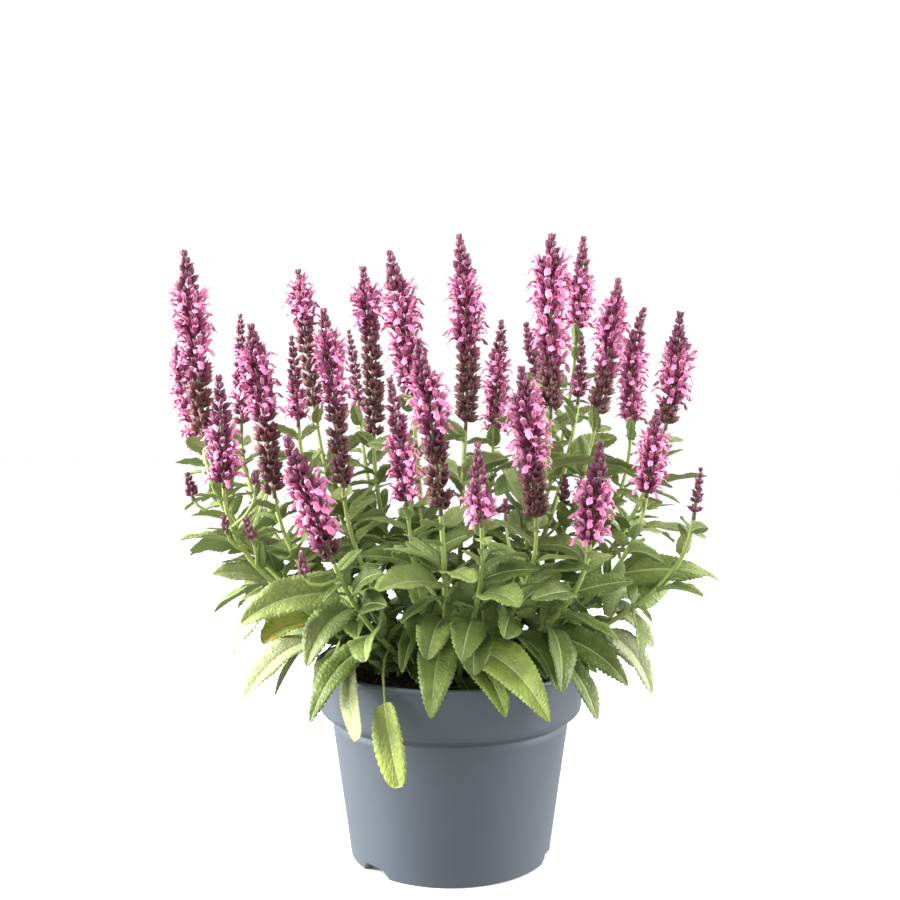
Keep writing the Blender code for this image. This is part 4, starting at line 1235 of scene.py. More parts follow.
@dataclass(frozen=True)
class CalyxFinish:
    """Downy ribbed calyces: dusty mauve in bud, dark purple in flower, brown with tan rims once faded, near
    black inside as painted shade.
    """

    bud: Colour = (0.200, 0.048, 0.106)
    purple: Colour = (0.235, 0.030, 0.112)
    brown: Colour = (0.125, 0.044, 0.036)
    tan: Colour = (0.420, 0.245, 0.185)
    green: Colour = (0.190, 0.190, 0.060)
    # Painted shade: the near-black colour of a calyx's inside.
    inside: Colour = (0.020, 0.007, 0.011)

    def material(self) -> Material:
        """Build the material.

        Returns:
            The finished material.
        """
        shade = Shader("sage calyx", 0.60, Sheen_Weight=0.08, Sheen_Roughness=0.4, Sheen_Tint=(0.9, 0.5, 0.7))
        along, rib, inside = shade.split(shade.mark("calyx"))
        bud, age, chance = shade.split(shade.mark("tint"))
        base = shade.mix(bud, self.purple, self.bud)
        faded = shade.scaled(shade.between(chance, 0.3, 1.0), 0.30, age, clamp=True)
        base = shade.mix(faded, base, self.brown)
        base = shade.mix(shade.times(rib, shade.scaled(chance, 0.30, 0.12)), base, self.bud)
        rim = shade.times(shade.between(along, 0.72, 1.0), shade.scaled(chance, 0.5, 0.1))
        base = shade.mix(shade.times(rim, shade.scaled(age, 0.8, 0.2)), base, self.tan)
        foot = shade.times(shade.between(along, 0.30, 0.0), 0.5)
        base = shade.mix(foot, base, self.green)
        # Painted shade: each calyx's inner ring is coloured near black.
        shade.colour(shade.mix(inside, base, self.inside))
        shade.bump(rib, 0.0004, 0.6)
        return shade.material


@dataclass(frozen=True)
class PetalFinish:
    """Thin silky petals: deep magenta in the throat, partly their own colour and partly painted shade, clear
    pink lips, pale rims, and hoods made paler as a painted highlight.
    """

    # The throat colour is partly the flower's own and partly painted shade; the rim colour also paints the
    # hoods' highlight.
    throat: Colour = (0.450, 0.040, 0.200)
    body: Colour = (0.830, 0.250, 0.480)
    rim: Colour = (0.840, 0.360, 0.535)
    lilac: Colour = (0.620, 0.250, 0.520)

    def material(self) -> Material:
        """Build the material.

        Returns:
            The finished material.
        """
        shade = Shader("sage petal", 0.50, Sheen_Weight=0.05, Specular_IOR_Level=0.35)
        along, across, hood = shade.split(shade.mark("petal"))
        chance, other, _ = shade.split(shade.mark("tint"))
        # Partly painted shade: the petals darken towards the throat.
        base = shade.mix(shade.between(along, 0.10, 0.55), self.throat, self.body)
        edge = shade.math("MAXIMUM", shade.between(along, 0.75, 1.0), shade.between(across, 0.55, 1.0))
        base = shade.mix(shade.times(edge, shade.scaled(other, 0.5, 0.3)), base, self.rim)
        base = shade.mix(shade.times(shade.between(chance, 0.55, 1.0), 0.5), base, self.lilac)
        # Painted highlight: the hoods are made paler, as if catching the light from above.
        base = shade.mix(shade.times(hood, shade.scaled(other, 0.5, 0.2)), base, self.rim)
        shade.colour(shade.mix(shade.times(shade.between(other, 0.7, 1.0), 0.4), base, self.rim))
        return shade.material


@dataclass(frozen=True)
class PotFinish:
    """Blue-grey moulded plastic with a satin skin and a fine grain."""

    plastic: Colour = (0.090, 0.108, 0.130)
    worn: Colour = (0.108, 0.126, 0.148)

    def material(self) -> Material:
        """Build the material.

        Returns:
            The finished material.
        """
        shade = Shader(
            "nursery pot plastic", 0.40, Specular_IOR_Level=0.5, Coat_Weight=0.15, Coat_Roughness=0.3
        )
        place = shade.place()
        cloud = shade.noise(place, 14.0, 4.0)
        grain = shade.noise(place, 1500.0, 2.0)
        shade.colour(shade.mix(shade.times(shade.between(cloud, 0.35, 0.75), 0.45), self.plastic, self.worn))
        shade.bump(grain, 0.00006, 0.35)
        return shade.material


@dataclass(frozen=True)
class SoilFinish:
    """Damp peat: near-black with brown and purplish crumbs."""

    dark: Colour = (0.010, 0.007, 0.006)
    crumb: Colour = (0.060, 0.036, 0.028)
    fibre: Colour = (0.150, 0.100, 0.080)

    def material(self) -> Material:
        """Build the material.

        Returns:
            The finished material.
        """
        shade = Shader("peat compost", 0.92)
        place = shade.place()
        coarse = shade.noise(place, 260.0, 4.0)
        fine = shade.noise(place, 900.0, 3.0)
        base = shade.mix(shade.between(coarse, 0.35, 0.72), self.dark, self.crumb)
        shade.colour(shade.mix(shade.times(shade.between(fine, 0.60, 0.75), 0.7), base, self.fibre))
        shade.bump(shade.math("ADD", coarse, fine), 0.0009, 0.9)
        return shade.material


@dataclass
class Pot:
    """The nursery pot: lip, straight collar, rounded shoulder, tapering body and notched foot."""

    rim_radius: float = 95.3
    rim_height: float = 137.0
    lip_height: float = 3.4
    lip_proud: float = 0.9
    shoulder_radius: float = 92.3
    shoulder_height: float = 103.0
    neck_radius: float = 83.2
    neck_height: float = 97.0
    foot_radius: float = 70.2
    edge: float = 0.8
    wall: float = 1.6
    floor_height: float = 7.0
    centre_radius: float = 27.0
    soil_rim: float = 121.5
    soil_crown: float = 126.5
    soil_gap: float = 0.3
    plain_sides: int = 28
    fine_sides: int = 192
    notch_azimuths: tuple[float, ...] = (-46.0, 74.0, 194.0)
    notch_width: float = 24.0
    notch_top_share: float = 0.72
    notch_height: float = 6.2
    roundings: int = 2

    def profiles(self) -> tuple[list[Span], list[Span]]:
        """Give the outside from the rim down and the inside from the centre up, as radius and height.

        Returns:
            The two lists.
        """
        slope = (self.neck_radius - self.foot_radius) / self.neck_height
        collar = self.rim_radius - self.lip_proud
        edge = self.edge
        floor_top = self.floor_height + self.wall
        outside = [
            (self.rim_radius, self.rim_height - edge),
            (self.rim_radius, self.rim_height - self.lip_height),
            (collar, self.rim_height - self.lip_height - edge),
            (self.shoulder_radius, self.shoulder_height + 2 * edge),
            (self.shoulder_radius - 2 * edge, self.shoulder_height - edge),
            (self.neck_radius + edge, self.neck_height + edge),
            (self.neck_radius, self.neck_height - edge),
            (self.foot_radius + 2 * edge * slope, 2 * edge),
            (self.foot_radius - edge, 0.0),
        ]
        inside = [
            (self.centre_radius, self.wall),
            (self.centre_radius + 2 * edge, floor_top),
            (self.foot_radius + floor_top * slope - self.wall, floor_top),
            (self.neck_radius - self.wall, self.neck_height + edge),
            (self.shoulder_radius - self.wall, self.shoulder_height + 2 * edge),
            (self.rim_radius - self.lip_proud - self.wall, self.rim_height),
        ]
        return outside, inside

    def rounded(self, profile: Sequence[Span], spread: float) -> Array:
        """Round a profile's corners: each becomes a short quadratic arc that starts a spread away from it.

        Args:
            profile: Radius and height of each corner.
            spread: How far from it its arc starts, at most.

        Returns:
            The finer profile.
        """
        points = np.array(profile, float)
        share = np.linspace(0.0, 1.0, self.roundings + 2)[:, None]
        out = [points[:1]]
        for before, corner, after in zip(points[:-2], points[1:-1], points[2:]):
            start = corner + unit(before - corner) * min(spread, 0.45 * math.dist(before, corner))
            end = corner + unit(after - corner) * min(spread, 0.45 * math.dist(after, corner))
            out.append(bezier(start, corner, end, share))
        return np.vstack([*out, points[-1:]])

    def turned(self, profile: Array, sides: int) -> Array:
        """Turn a profile round the Z axis, as rings from its first point to its last."""
        radius, height = profile[:, 0, None], profile[:, 1, None]
        return triples(radius * np.cos(around(sides)), radius * np.sin(around(sides)), height)

    def notched(self, rings: Array) -> Array:
        """Raise the foot's points inside each notch: its top is level and its two sides slope.

        Args:
            rings: The turned pot's points, changed in place.

        Returns:
            The same points.
        """
        azimuth = np.arctan2(rings[..., 1], rings[..., 0])
        lift = np.zeros(rings.shape[:2])
        for notch in self.notch_azimuths:
            away = np.angle(np.exp(1j * (azimuth - math.radians(notch - 90.0))))
            across = np.abs(away) * self.foot_radius
            half = 0.5 * self.notch_width
            slope = np.clip((half - across) / (half * (1 - self.notch_top_share)), 0.0, 1.0)
            lift = np.maximum(lift, self.notch_height * slope)
        skirt = np.hypot(rings[..., 0], rings[..., 1]) > self.foot_radius - 3 * self.wall
        rings[..., 2] = np.where(skirt, np.maximum(rings[..., 2], lift), rings[..., 2])
        return rings

    def dress(self) -> bpy.types.Object:
        """Build the fine pot in place of the plain one.

        Returns:
            The pot's piece.
        """
        outside, inside = self.profiles()
        edge, wall = self.edge, self.wall
        under = [
            (self.foot_radius - edge - wall, 0.0),
            (self.foot_radius - wall, self.floor_height),
            (self.centre_radius + wall + 2 * edge, self.floor_height),
            (self.centre_radius + wall, 0.0),
            (edge, 0.0),
        ]
        neck, height, lift = self.neck_radius, self.neck_height, self.notch_height
        slope = (neck - self.foot_radius) / height
        deep = neck - 0.4 * edge
        groove = [(deep, height), (deep, height - 0.5 * edge), (neck, height - 5.0 * edge)]
        steps = (lift + 2.5 * edge, lift + edge, 2 * edge)
        foot = [(self.foot_radius + tall * slope, tall) for tall in steps]
        foot += [(self.foot_radius + edge * 0.2, edge), outside[-1]]
        profile = self.rounded([(edge, wall), *inside, *outside[:-3], *groove, *foot, *under], 1.5)
        return Surface.lofted(self.notched(self.turned(profile, self.fine_sides))[:, ::-1]).piece(
            "pot_shell", PotFinish().material(), Slot.POT, "pot"
        )


@dataclass
class Compost:
    """The peat that fills the pot, with a rough top and loose crumbs."""

    pot: Pot
    rows: int = 40
    sides: int = 120
    swell: float = 1.3
    crumbs: int = 1100
    crumb_sizes: Span = (0.6, 1.9)
    crumb_reach: float = 88.0
    crumb_twist: float = 0.63

    def height(self, x: Array, y: Array) -> Array:
        """Give the top's height: a low dome with hummocks, the sum of a few crossed sine waves.

        Args:
            x: Places along X.
            y: Places along Y.

        Returns:
            The height at each.
        """
        pot = self.pot
        reach = np.hypot(x, y) / pot.shoulder_radius
        dome = pot.soil_crown - (pot.soil_crown - pot.soil_rim) * reach**3
        hummocks = np.sin(x * 0.31 + 1.7 * np.sin(y * 0.23)) + np.sin(y * 0.37 + 1.3 * np.sin(x * 0.29) + 2.0)
        lumps = np.sin(x * 1.1 + 2.0 * np.sin(y * 0.9)) * np.sin(y * 1.3 + 1.6 * np.sin(x * 0.8))
        return dome - 0.6 * self.swell + self.swell * (0.28 * hummocks + 0.35 * lumps)

    def body(self) -> Surface:
        """Make the filling: its rough top out to the pot's wall, then its plain side and bottom.

        Returns:
            A closed surface.
        """
        pot = self.pot
        _, inside = pot.profiles()
        radii, heights = zip(*inside[4:6])
        edge_radius = float(np.interp(pot.soil_rim, heights, radii))
        radius = np.linspace(0.5, edge_radius - pot.soil_gap, self.rows)
        x = radius[:, None] * np.cos(around(self.sides))
        y = radius[:, None] * np.sin(around(self.sides))
        top = triples(x, y, self.height(x, y))
        wall = [(radius - pot.soil_gap, height) for radius, height in (inside[4], inside[3])]
        floor = [(radius - pot.soil_gap, height + pot.soil_gap) for radius, height in inside[2::-1]]
        side = pot.turned(np.array([*wall, *floor]), self.sides)
        return Surface.lofted(np.vstack([top, side])[:, ::-1])

    def loose(self) -> Surface:
        """Scatter crumbs over the top: dented balls of two rings, each squashed and turned at random.

        Returns:
            All of them.
        """
        draw = np.random.default_rng(SEED + 1)
        turn = around(5) + np.array(((0.0,), (self.crumb_twist,)))
        crumb = Surface.lofted(triples(np.cos(turn), np.sin(turn), np.array(((-0.5,), (0.5,)))))
        crumb.points[-2:] *= 2.0
        reach = self.crumb_reach * np.sqrt(draw.random(self.crumbs))
        azimuth = draw.uniform(0.0, 2 * math.pi, self.crumbs)
        x, y = reach * np.cos(azimuth), reach * np.sin(azimuth)
        sizes = draw.uniform(*self.crumb_sizes, self.crumbs) * draw.uniform(0.5, 1.0, self.crumbs)
        places = np.column_stack([x, y, self.height(x, y) + 0.25 * sizes])
        first = unit(draw.normal(size=(self.crumbs, 3)))
        second = unit(np.cross(first, draw.normal(size=(self.crumbs, 3))))
        third = np.cross(first, second)
        squash = draw.uniform(0.55, 1.25, (self.crumbs, 3, 1))
        return crumb.copies(np.stack([first, second, third], axis=1) * squash, places, sizes, {})

    def dress(self) -> bpy.types.Object:
        """Build the compost in place of the plain filling."""
        surface = Surface.joined([self.body(), self.loose()])
        return surface.piece("compost", SoilFinish().material(), Slot.SOIL, "soil")


class Detail(Enum):
    """How finely a leaf is made: its margin's heights over a tooth, its teeth's coarseness, its columns."""

    NEAR = ((0.0, 0.95, 1.0), 1.0, (0.0, 0.07, 0.30, 0.62, 1.0))
    INNER = ((0.0, 1.0), 1.2, (0.0, 0.08, 0.50, 1.0))
    SMALL = ((0.0, 1.0), 1.6, (0.0, 0.45, 1.0))


@dataclass
class Blade:
    """A fine leaf blade: toothed, puckered and ruffled, with a narrow stalk, round a bent midrib."""

    tooth: float = 3.3
    tooth_depth: float = 1.0
    stalk: float = 0.06
    stalk_half: float = 0.8
    stalk_rows: int = 3
    bare_growth: float = 1.3
    rise: float = 0.34
    falls: Span = (0.50, 0.78)
    blunt: float = 0.5
    blunt_stalk: float = 0.25
    calm: float = 0.3
    # Painted shade: leaves with low tips get a darker tone, fading out between these heights, standing in for
    # the shadow of the foliage above.
    painted_shadow_depth: float = 0.26
    painted_shadow_heights: Span = (140.0, 230.0)
    side_veins: float = 9.0
    slant: float = 0.18
    pucker: float = 0.031
    cup: float = 0.14
    ruffle: float = 0.046
    groove: float = 0.35
    thin: float = 0.28
    slack: float = 1.05
    tooth_variety: Span = (0.5, 1.3)
    wave_rates: Span = (10.0, 20.0)
    cup_variety: Span = (0.3, 1.5)
    twist: float = 0.22
    grain_room: float = 40.0
    tones: Span = (0.1, 0.9)
    age_variety: Span = (-0.05, 0.08)

    def width(self, share: Array, fall: float) -> Array:
        """Give the half width's share: a power of the way from the foot times one of the way to the tip."""
        peak = self.rise / (self.rise + fall)
        return share**self.rise * (1.0 - share) ** fall / (peak**self.rise * (1.0 - peak) ** fall)

    def surface(self, leaf: Leaf, draw: np.random.Generator, detail: Detail) -> Surface:
        """Make a leaf.

        Args:
            leaf: Its place, size and age.
            draw: The source of its own variety.
            detail: How finely it is made.

        Returns:
            A closed thin surface: each ring goes along the upper face and back along the lower one. Its
            points lie at the midrib plus a step across it and a lift, which is the sum of a cup, an edge
            wave, the puckers between veins and a groove along the midrib.
        """
        heights, coarse, columns = detail.value
        midrib = Midrib(leaf)
        length = self.slack * float(np.linalg.norm(leaf.tip - leaf.root))
        bare = max(self.stalk, self.bare_growth * leaf.stalk)
        teeth = max(4, round(length * (1.0 - bare) / (coarse * self.tooth)))
        blade = np.concatenate([np.zeros(self.stalk_rows), np.linspace(0.0, 0.995, teeth * len(heights) + 1)])
        share = bare + (1.0 - bare) * blade
        share[: self.stalk_rows] = np.linspace(0.0, bare, self.stalk_rows, endpoint=False)
        side = np.concatenate([-np.array(columns[:0:-1]), columns])
        apart = np.abs(side)
        is_blunt = leaf.stalk > self.blunt_stalk
        fall = draw.uniform(*self.falls) * (self.blunt if is_blunt else 1.0)
        wide = self.width(blade, fall)[:, None]
        half = np.maximum(0.5 * leaf.width * wide, self.stalk_half * (1.0 - 0.6 * share[:, None]))
        row = np.maximum(np.arange(len(share)) - self.stalk_rows, 0)
        grown = smooth(blade, 0.0, 0.12) * (1.0 - 0.5 * smooth(blade, 0.85, 1.0))
        tall = np.array(heights)[row % len(heights)] - 0.6
        tall = tall * draw.uniform(*self.tooth_variety, (2, teeth + 1))[:, row // len(heights)]
        tall = self.tooth_depth * min(1.0, leaf.width / 20.0) * grown * tall
        tall = np.where(side < 0, tall[0][:, None], tall[1][:, None])
        step = side * half + np.sign(side) * smooth(apart, 0.65, 1.0) * tall
        phase = self.side_veins * (share[:, None] - self.slant * apart)
        dome = np.sin(math.pi * phase) ** 2 * np.sin(math.pi * apart**0.8)
        starts = draw.uniform(0.0, 2 * math.pi, (2, 1))
        waves = np.sin(draw.uniform(*self.wave_rates, (2, 1)) * share + starts)
        waves = np.where(side < 0, waves[0][:, None], waves[1][:, None])
        cup = self.cup * draw.uniform(*self.cup_variety)
        relief = (self.pucker * dome + self.ruffle * waves * apart**2) * (self.calm if is_blunt else 1.0)
        lift = leaf.width * wide * (cup * apart + relief)
        lift -= self.groove * (apart < 0.05) * wide
        turn = (draw.uniform(-self.twist, self.twist) * share**2)[:, None]
        across, above = rotated(midrib.across, midrib.upward(share), turn)
        across, above = across[:, None, :], above[:, None, :]
        top = midrib.point(share)[:, None, :] + across * step[..., None] + above * lift[..., None]
        thick = self.thin + 1.0 - smooth(blade, 0.0, 0.10)[:, None]
        thick = thick + 0.5 * (apart < 0.05) * (1 - share[:, None])
        low = top - above * thick[..., None]
        both = np.concatenate([side, side[::-1]])
        under = np.repeat((0.0, 1.0), len(side))
        sideways = folded(step, step)[:, ::-1]
        # Painted shade: a leaf's random tone is lowered the lower its tip is, standing in for the shadow of
        # the leaves above it.
        painted_shadow_drop = self.painted_shadow_depth * (1.0 - float(smooth(leaf.tip[2], *self.painted_shadow_heights)))
        marks = {
            "blade": (share[:, None], both, under),
            "grain": (sideways, share[:, None] * length, draw.uniform(0.0, self.grain_room)),
            "tint": (
                draw.uniform(*self.tones) - painted_shadow_drop,
                leaf.age + draw.uniform(*self.age_variety),
                leaf.pale,
            ),
        }
        rings = folded(top, low)
        grids = [(name, triples(*mark, step[:, :1])) for name, mark in marks.items()]
        spread = {name: np.broadcast_to(grid, rings.shape)[:, ::-1] for name, grid in grids}
        return Surface.lofted(rings, spread)


def tube(points: Array, ahead: Array, reach: Array, turn: Array, marks: Sequence[object]) -> Surface:
    """Carry a section along a line.

    Args:
        points: The line's points.
        ahead: The line's directions at them.
        reach: The section's radius for each point and angle.
        turn: The section's angles.
        marks: Three values of the stalk's mark, each for every point and angle or for all.

    Returns:
        A closed tube: each ring is its point plus the radius times the direction at the angle.
    """
    side, other = across_frame(ahead)
    ring = spun(turn, side[:, None, :], other[:, None, :])
    reach = np.broadcast_to(reach, ring.shape[:2])
    return Surface.lofted(points[:, None, :] + reach[..., None] * ring, {"stalk": triples(*marks, reach)})


@dataclass
class LeafyStem:
    """A square ribbed stalk with its leaves, and the tufts of small leaves along it."""

    stem: Stem
    growths: list[Leaf | SideShoot]
    tufts: list[Leaf]
    number: int
    rings: int = 50
    sides: int = 12
    hollow: float = 0.14
    swelling: float = 0.16
    node: float = 2.5
    near_radius: float = 78.0
    side_radius: float = 1.0
    room: Array = field(default_factory=lambda: np.array((3 * (-NO_LIMIT,), 3 * (NO_LIMIT,))))

    def stalk(self) -> Surface:
        """Make the stalk: a radius that dips between four corners and swells a little at each leaf.

        Returns:
            A closed tube.
        """
        stem = self.stem
        runs = np.linspace(0.0, stem.run[-1], self.rings)
        points, along, radius = (np.array(value) for value in zip(*[stem.at(run) for run in runs]))
        turn = stem.turn + around(self.sides)
        corner = np.cos(4 * (turn - stem.turn))
        places = np.array([growth.place for growth in self.growths])
        swell = np.clip(np.exp(-(((runs[:, None] - places) / self.node) ** 2)).sum(axis=1), 0.0, 1.0)
        reach = (radius * (1 + self.swelling * swell))[:, None] * (1 - self.hollow + self.hollow * corner)
        flush = 0.7 * smooth(runs, stem.run[-1] - 10.0, stem.run[-1] + 8.0)[:, None]
        return tube(points, along, reach, turn, (runs[:, None], 0.5 + 0.5 * corner, flush))

    def side_stalk(self, shoot: SideShoot) -> Surface:
        """Make a side shoot's round stalk along its line, thinner than the stem.

        Args:
            shoot: The side shoot.

        Returns:
            A closed tube.
        """
        share = np.linspace(0.0, len(shoot.line) - 1.0, 14)
        points = on_line(share, np.arange(len(shoot.line)), shoot.line)
        flush = 0.8 * smooth(share, share[-1] - 0.8, share[-1])[:, None]
        ahead = unit(np.gradient(points, axis=0))
        return tube(points, ahead, self.side_radius, around(8), (10.0 * share[:, None], 0.5, flush))

    def dress(self, leaf_finish: Material, stalk_finish: Material) -> None:
        """Build the stalk and the leaves in place of the plain stem.

        Args:
            leaf_finish: The leaves' finish.
            stalk_finish: The stalk's finish.
        """
        draw = np.random.default_rng((SEED, self.number))
        blade = Blade()
        parts = []
        for leaf in self.growths:
            if isinstance(leaf, Leaf):
                is_near = math.hypot(leaf.tip[0], leaf.tip[1]) > self.near_radius
                parts.append(blade.surface(leaf, draw, Detail.NEAR if is_near else Detail.INNER))
        parts += [blade.surface(leaf, draw, Detail.SMALL) for leaf in self.tufts]
        shoots = [growth for growth in self.growths if isinstance(growth, SideShoot)]
        name = self.stem.shoot.name
        stalks = Surface.joined([self.stalk(), *[self.side_stalk(shoot) for shoot in shoots]])
        stalks.piece(f"stalk_{name}", stalk_finish, Slot.FOLIAGE, f"stem_{name}")
        leaves = Surface.joined(parts)
        leaves.points = np.clip(leaves.points, *self.room)
        leaves.piece(f"leaves_{name}", leaf_finish, Slot.FOLIAGE)


@dataclass
class FlowerParts:
    """The small forms that the spikes repeat, each along X from its foot, with Z above it, in millimetres."""

    thin: float = 0.22
    flatness: float = 0.88
    style_radius: float = 0.17

    def bell(
        self, along: Array, reach: Array, depth: Sequence[float], teeth: Array, inside: Sequence[float]
    ) -> Surface:
        """Make a ribbed bell: the points of each ring go round the X axis at their own reach.

        Args:
            along: The distance along X of each ring's points.
            reach: Their distance from the X axis, less sideways by the flatness.
            depth: How far along the bell each ring is, from 0 to 1, for the finish.
            teeth: Which columns are drawn out to teeth.
            inside: 1 for a ring on the inside, which the finish paints near black as shade.

        Returns:
            The closed bell.
        """
        turn = around(len(teeth))
        rings = triples(along, self.flatness * reach * np.cos(turn), reach * np.sin(turn))
        marks = triples(np.array(depth)[:, None], teeth.astype(float), np.array(inside)[:, None])
        return Surface.lofted(rings, {"calyx": marks})

    def calyx(self) -> Surface:
        """Make a calyx: a bell of eight columns, four of them drawn out to teeth, open at its mouth.

        Returns:
            A closed surface.
        """
        teeth = np.arange(8) % 2 == 0
        mouth = np.where(teeth, 8.4, 6.1)
        rim = np.where(teeth, 3.0, 2.3)
        along = np.array([np.full(8, 0.0), np.full(8, 2.6), mouth, np.full(8, 4.4)])
        reach = np.array([np.full(8, 0.6), np.where(teeth, 2.3, 2.0), rim, np.full(8, 1.0)])
        return self.bell(along, reach, (0.0, 0.35, 1.0, 0.2), teeth, (0.0, 0.0, 0.0, 1.0))

    def bud(self) -> Surface:
        """Make a closed bud: a plump ribbed body that draws in to a point.

        Returns:
            A closed surface.
        """
        teeth = np.arange(6) % 2 == 0
        along = np.array((0.0, 1.5, 3.6, 5.3, 6.5))[:, None]
        reach = np.array((0.6, 1.95, 2.15, 1.35, 0.08))[:, None] * np.where(teeth, 1.05, 0.92)
        return self.bell(along, reach, (0.0, 0.3, 0.6, 0.8, 1.0), teeth, (0.0, 0.0, 0.0, 0.0, 0.0))

    def sheet(self, top: Array, above: Array, name: str, marks: Sequence[object]) -> Surface:
        """Give a grid of points its own thin underside, and three marks for each of its points."""
        grid = triples(*marks, top[..., 0])
        return Surface.lofted(folded(top, top - self.thin * above), {name: folded(grid, grid)})

    def bract(self) -> Surface:
        """Make a bract: a small pointed leaf, cupped upwards.

        Returns:
            A closed thin surface.
        """
        share = np.array((0.0, 0.35, 0.7, 1.0))[:, None]
        half = np.array((0.7, 2.6, 1.8, 0.15))[:, None]
        side = np.array((-1.0, 0.0, 1.0))
        top = triples(7.0 * share, side * half, 0.8 * np.abs(side) + 1.4 * share**2)
        return self.sheet(top, UP, "calyx", (share, 0.5, 0.0))

    def petal(
        self, line: Array, half: Sequence[float], fold: Sequence[float], side: Array, tone: Sequence[float]
    ) -> Surface:
        """Make a petal that follows a line in the plane of X and Z.

        Args:
            line: Points of its middle, as X and Z.
            half: Its half width at each point.
            fold: How far its sides hang below its middle at each point.
            side: The columns across it, from -1 to 1.
            tone: How deep in the flower it starts, from 0 in the throat, and 1 for a hood.

        Returns:
            A closed thin surface: the line, a step across it, and a drop of the fold times the step squared.
        """
        ahead = unit(np.gradient(line, axis=0))
        above = triples(-ahead[:, 1], 0.0, ahead[:, 0])[:, None, :]
        middle = np.insert(line, 1, 0.0, axis=1)[:, None, :]
        step = np.array(half)[:, None] * side
        drop = np.array(fold)[:, None] * side**2
        top = middle + np.array((0.0, 1.0, 0.0)) * step[..., None] - above * drop[..., None]
        share = np.linspace(tone[0], 1.0, len(line))[:, None]
        return self.sheet(top, above, "petal", (share, np.abs(side), tone[1]))

    def corolla(self, openness: float) -> Surface:
        """Make a two-lipped flower.

        Args:
            openness: 0 for a flower just opening, 1 for one fully open.

        Returns:
            Its tube, its arched hood, its drooping three-lobed lip and its long style.
        """
        turn = around(5)
        along, reach, depth = np.array(((-2.0, 2.8, 1.2), (0.9, 1.7, 0.6), (0.35, 0.45, 0.0)))[..., None]
        rings = triples(along, reach * np.cos(turn), reach * np.sin(turn))
        throat = Surface.lofted(rings, {"petal": triples(depth, 0.0, 0.0, turn)})
        rise = 0.62 + 0.38 * openness
        hood_line = np.array(
            ((1.4, 1.1), (3.0, 3.4 * rise), (4.8, 5.2 * rise), (6.8, 5.5 * rise), (8.0, 4.0 * rise))
        )
        across = np.array((-1.0, -0.4, 0.4, 1.0))
        wide, fold = (1.0, 1.6, 1.9, 1.6, 0.6), (1.2, 1.8, 1.9, 1.4, 0.3)
        hood = self.petal(hood_line, wide, fold, across, (0.30, 1.0))
        drop = 0.35 + 0.65 * openness
        lip_line = np.array(
            ((1.8, -0.9), (4.0, -1.4), (6.0, -2.9 * drop), (7.0, -5.2 * drop), (6.8, -7.6 * drop))
        )
        wide = (0.45 + 0.55 * openness) * np.array((1.3, 2.5, 1.4, 2.1, 1.2))
        across = np.array((-1.0, -0.5, 0.0, 0.5, 1.0))
        lip = self.petal(lip_line, wide, (0.2, 1.2, 0.4, 1.1, -0.3), across, (0.20, 0.0))
        lip.points[:, 2] += 0.5 * np.sin(2.2 * lip.points[:, 1] + lip.points[:, 0]) * (lip.points[:, 0] > 4.0)
        style_line = np.array(((5.6, 4.4), (8.2, 6.2), (9.8, 5.6))) * (1.0, rise)
        ring = self.style_radius * triples(0.0, np.cos(around(3)), np.sin(around(3)))
        middle = np.insert(style_line, 1, 0.0, axis=1)[:, None, :]
        style = Surface.lofted(middle + ring, {"petal": np.ones((3, 3, 3))})
        return Surface.joined([throat, hood, lip, style])


class Bloom(Enum):
    """How far a flower has come."""

    BUD = 0
    CLOSED = 1
    OPENING = 2
    OPEN = 3


@dataclass
class Flowers:
    """Flowers of a spike as arrays: where each stands, how it points, its size and how far it has come."""

    place: Array
    out: Array
    ahead: Array
    rise: Array
    size: Array
    bud: Array
    age: Array
    state: Array
    chance: Array
    other: Array

    def frames(self, lowered: Array | float = 0.0) -> Array:
        """Give each flower's directions forward, sideways and above: its rise less an angle pitches them."""
        forward, above = rotated(self.out, self.ahead, (self.rise - lowered)[:, None])
        return np.stack([forward, np.cross(above, forward), above], axis=1)

    def chosen(self, mask: Array) -> Flowers:
        """Pick the flowers of a mask."""
        return Flowers(**{item.name: getattr(self, item.name)[mask] for item in fields(self)})

    def tint(self) -> dict[str, Array]:
        """Give the calyces' tint: bud share, age and chance."""
        return {"tint": np.stack([self.bud, self.age, self.chance], axis=-1)}


